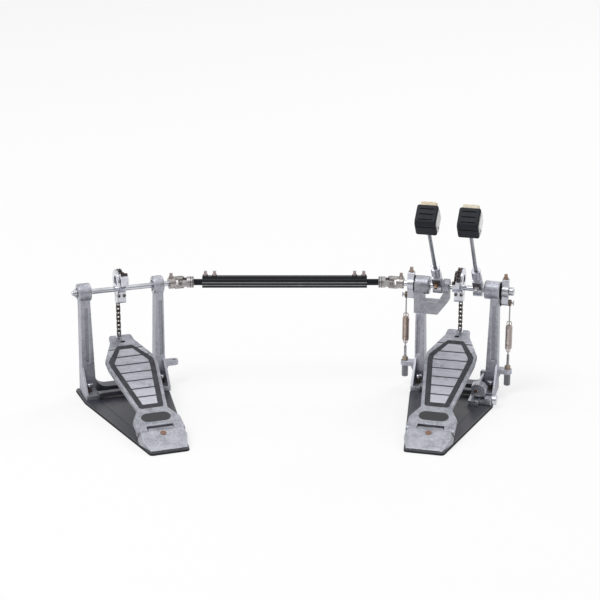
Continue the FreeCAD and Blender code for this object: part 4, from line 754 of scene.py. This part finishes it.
def tube(path, side, radius, around, closed):
    # circle of the given radius carried along the path, standing square to it
    along = np.gradient(path, axis=0)
    if closed:
        along = np.roll(path, -1, axis=0) - np.roll(path, 1, axis=0)
    along /= np.linalg.norm(along, axis=1, keepdims=True)
    side = side - along * np.sum(side * along, axis=1, keepdims=True)
    side /= np.linalg.norm(side, axis=1, keepdims=True)
    third = np.cross(along, side)
    angle = np.linspace(0.0, 2.0 * np.pi, around, endpoint=False)[None, :, None]
    shell = path[:, None] + radius * (np.cos(angle) * side[:, None] + np.sin(angle) * third[:, None])
    points = shell.reshape(-1, 3)
    faces = gridFaces(len(path), around, closed, True).tolist()
    if not closed:
        count = len(points)
        points = np.vstack((points, path[:1], path[-1:]))
        first = np.arange(around)
        faces += capFaces(first[::-1], count).tolist()
        faces += capFaces(first + (len(path) - 1) * around, count + 1).tolist()
    return points, faces


def pieceOf(name, parts, paint):
    points, faces, start = [], [], 0
    for corner, face in parts:
        points.append(corner)
        faces += [[index + start for index in loop] for loop in face]
        start += len(corner)
    mesh = bpy.data.meshes.new(name)
    mesh.from_pydata(np.vstack(points).tolist(), [], faces)
    mesh.polygons.foreach_set("use_smooth", np.ones(len(mesh.polygons), dtype=bool))
    mesh.materials.append(paint.material)
    mesh.update()
    piece = bpy.data.objects.new(name, mesh)
    bpy.context.scene.collection.objects.link(piece)
    return piece


# Return springs: wound wire drawn in at both ends, a hanging loop above and an eye below
def returnSpring(side, clean, share):
    wound = {"turns": 18, "wire": 0.00108, "coneTurns": 0.7, "coneShare": 0.80, "steps": 40, "around": 10,
             "loop": 0.0044, "eye": 0.0034, "loopWire": 0.00085, "loopSteps": 48, "loopRise": 0.9,
             "grain": 0.00005}
    metal = Steel(side + "SpringSteel", clean, brown, 0.30, share, 150.0, 0.2)
    metal.set(BaseColor=metal.colour, Roughness=metal.rough)
    metal.bump(metal.height, wound["grain"])
    node = side + "_spring"
    low, high = (np.array(corner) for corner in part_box(node))
    middle = (low + high) / 2.0
    reach = (high[0] - low[0]) / 2.0 - wound["wire"]
    foot, head = low[2] + wound["wire"], high[2] - wound["wire"]
    # turn runs from 0 to the number of turns; the radius narrows smoothly over the first and last ones
    turn = np.linspace(0.0, wound["turns"], wound["turns"] * wound["steps"] + 1)
    fromEnd = np.clip(np.minimum(turn, wound["turns"] - turn) / wound["coneTurns"], 0.0, 1.0)
    narrow = wound["coneShare"] + (1.0 - wound["coneShare"]) * fromEnd * fromEnd * (3.0 - 2.0 * fromEnd)
    angle = 2.0 * np.pi * turn
    outward = np.stack((np.cos(angle), np.sin(angle), np.zeros_like(angle)), axis=1)
    path = middle + reach * narrow[:, None] * outward
    path[:, 2] = foot + (head - foot) * turn / wound["turns"]
    parts = [tube(path, outward, wound["wire"], wound["around"], False)]
    # rings facing the player, one above the coil and one below
    bend = np.linspace(0.0, 2.0 * np.pi, wound["loopSteps"], endpoint=False)
    wayOut = np.cos(bend)[:, None] * np.array(mainPedal.right) + np.sin(bend)[:, None] * np.array(up)
    ends = ((head + wound["loop"] * wound["loopRise"], wound["loop"]),
            (foot - wound["eye"] * wound["loopRise"], wound["eye"]))
    for height, radius in ends:
        centre = np.array((middle[0], middle[1], height))
        parts.append(tube(centre + radius * wayOut, wayOut, wound["loopWire"], wound["around"], True))
    spring = pieceOf(side + "ReturnSpring", parts, metal)
    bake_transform(spring)
    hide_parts(node)


returnSpring("right", (0.66, 0.58, 0.55), 0.25)
returnSpring("left", (0.54, 0.43, 0.37), 0.32)
print("springs wound")


# Felt pads: a rounded block, its skin raised by small seeded tufts
def squaredCircle(angle, power):
    # the point of |x|^n + |y|^n = 1 that lies at each angle
    across, ahead = np.cos(angle), np.sin(angle)
    size = (np.abs(across) ** power + np.abs(ahead) ** power) ** (-1.0 / power)
    return across * size, ahead * size


def feltPad(side, seed, tone):
    pad = {"power": 9.0, "tuft": 0.00022, "swell": 0.0006, "rows": 96, "columns": 160, "waves": 24,
           "length": 0.006}
    nap = {"tuft": 420.0, "tuftSpan": (0.35, 0.7), "stain": 55.0, "stainSpan": (0.45, 0.72), "shade": 0.75,
           "height": 0.00025, "foot": (0.001, 0.006), "footTone": (0.86, 0.80, 0.68)}
    paint = Paint(side + "Felt", SheenWeight=0.25)
    tufts = paint.noise(nap["tuft"], 6.0, 0.7)
    stain = paint.noise(nap["stain"], 4.0, 0.6).ramp(*nap["stainSpan"])
    along = paint.inFrame(beaterMatrix)[2]
    node = side + "_beater_felt"
    low, high = localBox(node, beaterMatrix)
    colour = paint.mix(tufts.ramp(*nap["tuftSpan"]), tone, tuple(part * 0.3 + 0.6 for part in tone))
    colour = paint.mix(stain * 0.35, colour, tuple(part * nap["shade"] for part in tone))
    footStart, footEnd = (low[2] + rise for rise in nap["foot"])
    colour = paint.mix((1.0 - along.ramp(footStart, footEnd)) * 0.5, colour, nap["footTone"])
    paint.set(BaseColor=colour, Roughness=0.9 + tufts * 0.1)
    paint.bump(tufts, nap["height"])
    # rounded block: a squared circle turned about a squared axis, both taken at even angles
    rise = np.linspace(-np.pi / 2.0, np.pi / 2.0, pad["rows"] + 2)[1:-1, None]
    turn = np.linspace(0.0, 2.0 * np.pi, pad["columns"], endpoint=False)[None, :]
    width, height = squaredCircle(rise, pad["power"])
    across, ahead = squaredCircle(turn, pad["power"])
    unit = np.stack(np.broadcast_arrays(width * across, width * ahead, height), axis=-1).reshape(-1, 3)
    unit = np.vstack((unit, (0.0, 0.0, -1.0), (0.0, 0.0, 1.0)))
    points = (low + high) / 2.0 + unit * ((high - low) / 2.0 + pad["swell"])
    # tufts: the mean of sine waves along seeded directions, added along the way out
    seeded = np.random.default_rng(seed)
    waves = seeded.normal(size=(pad["waves"], 3)) * 2.0 * np.pi / pad["length"]
    tuft = np.sin(points @ waves.T + seeded.uniform(0.0, 2.0 * np.pi, pad["waves"])).sum(axis=1)
    points = points + unit * pad["tuft"] * tuft[:, None] / math.sqrt(pad["waves"])
    matrix = np.array(beaterMatrix)
    points = points @ matrix[:3, :3].T + matrix[:3, 3]
    count = pad["rows"] * pad["columns"]
    ring = np.arange(pad["columns"])
    faces = gridFaces(pad["rows"], pad["columns"], False, True)[:, ::-1].tolist()
    faces += capFaces(ring[::-1], count).tolist()
    faces += capFaces(ring + (pad["rows"] - 1) * pad["columns"], count + 1).tolist()
    felt = pieceOf(side + "FeltPad", [(points, faces)], paint)
    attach(felt, side + "_beater")
    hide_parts(node)


feltPad("right", 3, (0.74, 0.64, 0.46))
feltPad("left", 4, (0.72, 0.56, 0.33))
print("felts laid")


# Stage: a pale floor, a room that shows white above and dimmer in front, a soft key and a lamp behind
def stageFloor():
    half = 30.0
    look = {"tone": (0.92, 0.92, 0.92), "paleTone": (0.94, 0.94, 0.94), "cloud": 1.5, "whiteShare": 0.70}
    mesh = bpy.data.meshes.new("studioFloor")
    mesh.from_pydata([(-half, -half, 0.0), (half, -half, 0.0), (half, half, 0.0), (-half, half, 0.0)], [],
                     [(0, 1, 2, 3)])
    paint = Paint("floorPaint", Roughness=0.75, SpecularIORLevel=0.15)
    paint.set(BaseColor=paint.mix(paint.noise(look["cloud"], 2.0), look["tone"], look["paleTone"]))
    # what the camera and the metal see is mostly plain white, so that the shadow stays but is faint
    rays = paint.node("ShaderNodeLightPath").socket.node
    seen = Value(paint, rays.outputs["Is Camera Ray"]).atLeast(Value(paint, rays.outputs["Is Glossy Ray"]))
    white = paint.node("ShaderNodeEmission", {"Color": (1.0, 1.0, 1.0), "Strength": 1.0})
    lit = Value(paint, paint.shader.outputs[0])
    blend = paint.node("ShaderNodeMixShader", (seen * look["whiteShare"], lit, white))
    paint.tree.links.new(blend.socket, paint.tree.get_output_node("ALL").inputs["Surface"])
    mesh.materials.append(paint.material)
    floor = bpy.data.objects.new("studioFloor", mesh)
    bpy.context.scene.collection.objects.link(floor)


def stageRoom():
    room = {"light": 0.62, "high": 1.0, "level": 0.55, "front": 0.22, "overhead": (0.15, 0.85),
            "behindCamera": (0.25, 0.95), "frontTop": (0.25, 0.8)}
    world = bpy.data.worlds.new("studioRoom")
    world.use_nodes = True
    bpy.context.scene.world = world
    graph = Graph(world.node_tree)
    y, z = graph.axes(graph.node("ShaderNodeTexCoord", out="Generated"))[1:]
    # what metal shows: bright overhead, half as bright around, dim behind the camera
    shown = room["level"] + z.ramp(*room["overhead"]) * (room["high"] - room["level"])
    front = (0.0 - y).ramp(*room["behindCamera"]) * (1.0 - z.ramp(*room["frontTop"]))
    shown = shown - front * (room["level"] - room["front"])
    rays = graph.node("ShaderNodeLightPath").socket.node
    camera = Value(graph, rays.outputs["Is Camera Ray"])
    glossy = Value(graph, rays.outputs["Is Glossy Ray"])
    strength = room["light"] + glossy * (shown - room["light"])
    strength = strength + camera * (1.0 - strength)
    back = graph.node("ShaderNodeBackground", {"Color": (1.0, 1.0, 1.0), "Strength": strength})
    graph.node("ShaderNodeOutputWorld", {"Surface": back})


def softLamp(name, place, target, size, power):
    lamp = bpy.data.lights.new(name, "AREA")
    lamp.shape = "DISK"
    lamp.size = size
    lamp.energy = power
    thing = bpy.data.objects.new(name, lamp)
    thing.location = place
    thing.rotation_euler = (Vector(target) - Vector(place)).to_track_quat("-Z", "Y").to_euler()
    bpy.context.scene.collection.objects.link(thing)


stageFloor()
stageRoom()
lampTarget = (-0.25, 0.0, 0.1)
softLamp("keyLamp", (-2.6, -1.6, 5.2), lampTarget, 3.0, 130.0)
softLamp("backLamp", (2.2, 3.4, 4.2), lampTarget, 2.4, 60.0)

cameraLook = {"spot": (-0.2921, -3.1566, 1.2407), "pitch": 18.65, "lens": 108.0, "sensor": 36.0}
camera = bpy.data.cameras.new("camera")
camera.lens = cameraLook["lens"]
camera.sensor_width = cameraLook["sensor"]
camera.dof.use_dof = False
cameraHolder = bpy.data.objects.new("camera", camera)
cameraHolder.location = cameraLook["spot"]
cameraHolder.rotation_euler = (math.radians(90.0 - cameraLook["pitch"]), 0.0, 0.0)
bpy.context.scene.collection.objects.link(cameraHolder)
bpy.context.scene.camera = cameraHolder
bpy.context.scene.view_settings.view_transform = "Standard"
print("stage set")
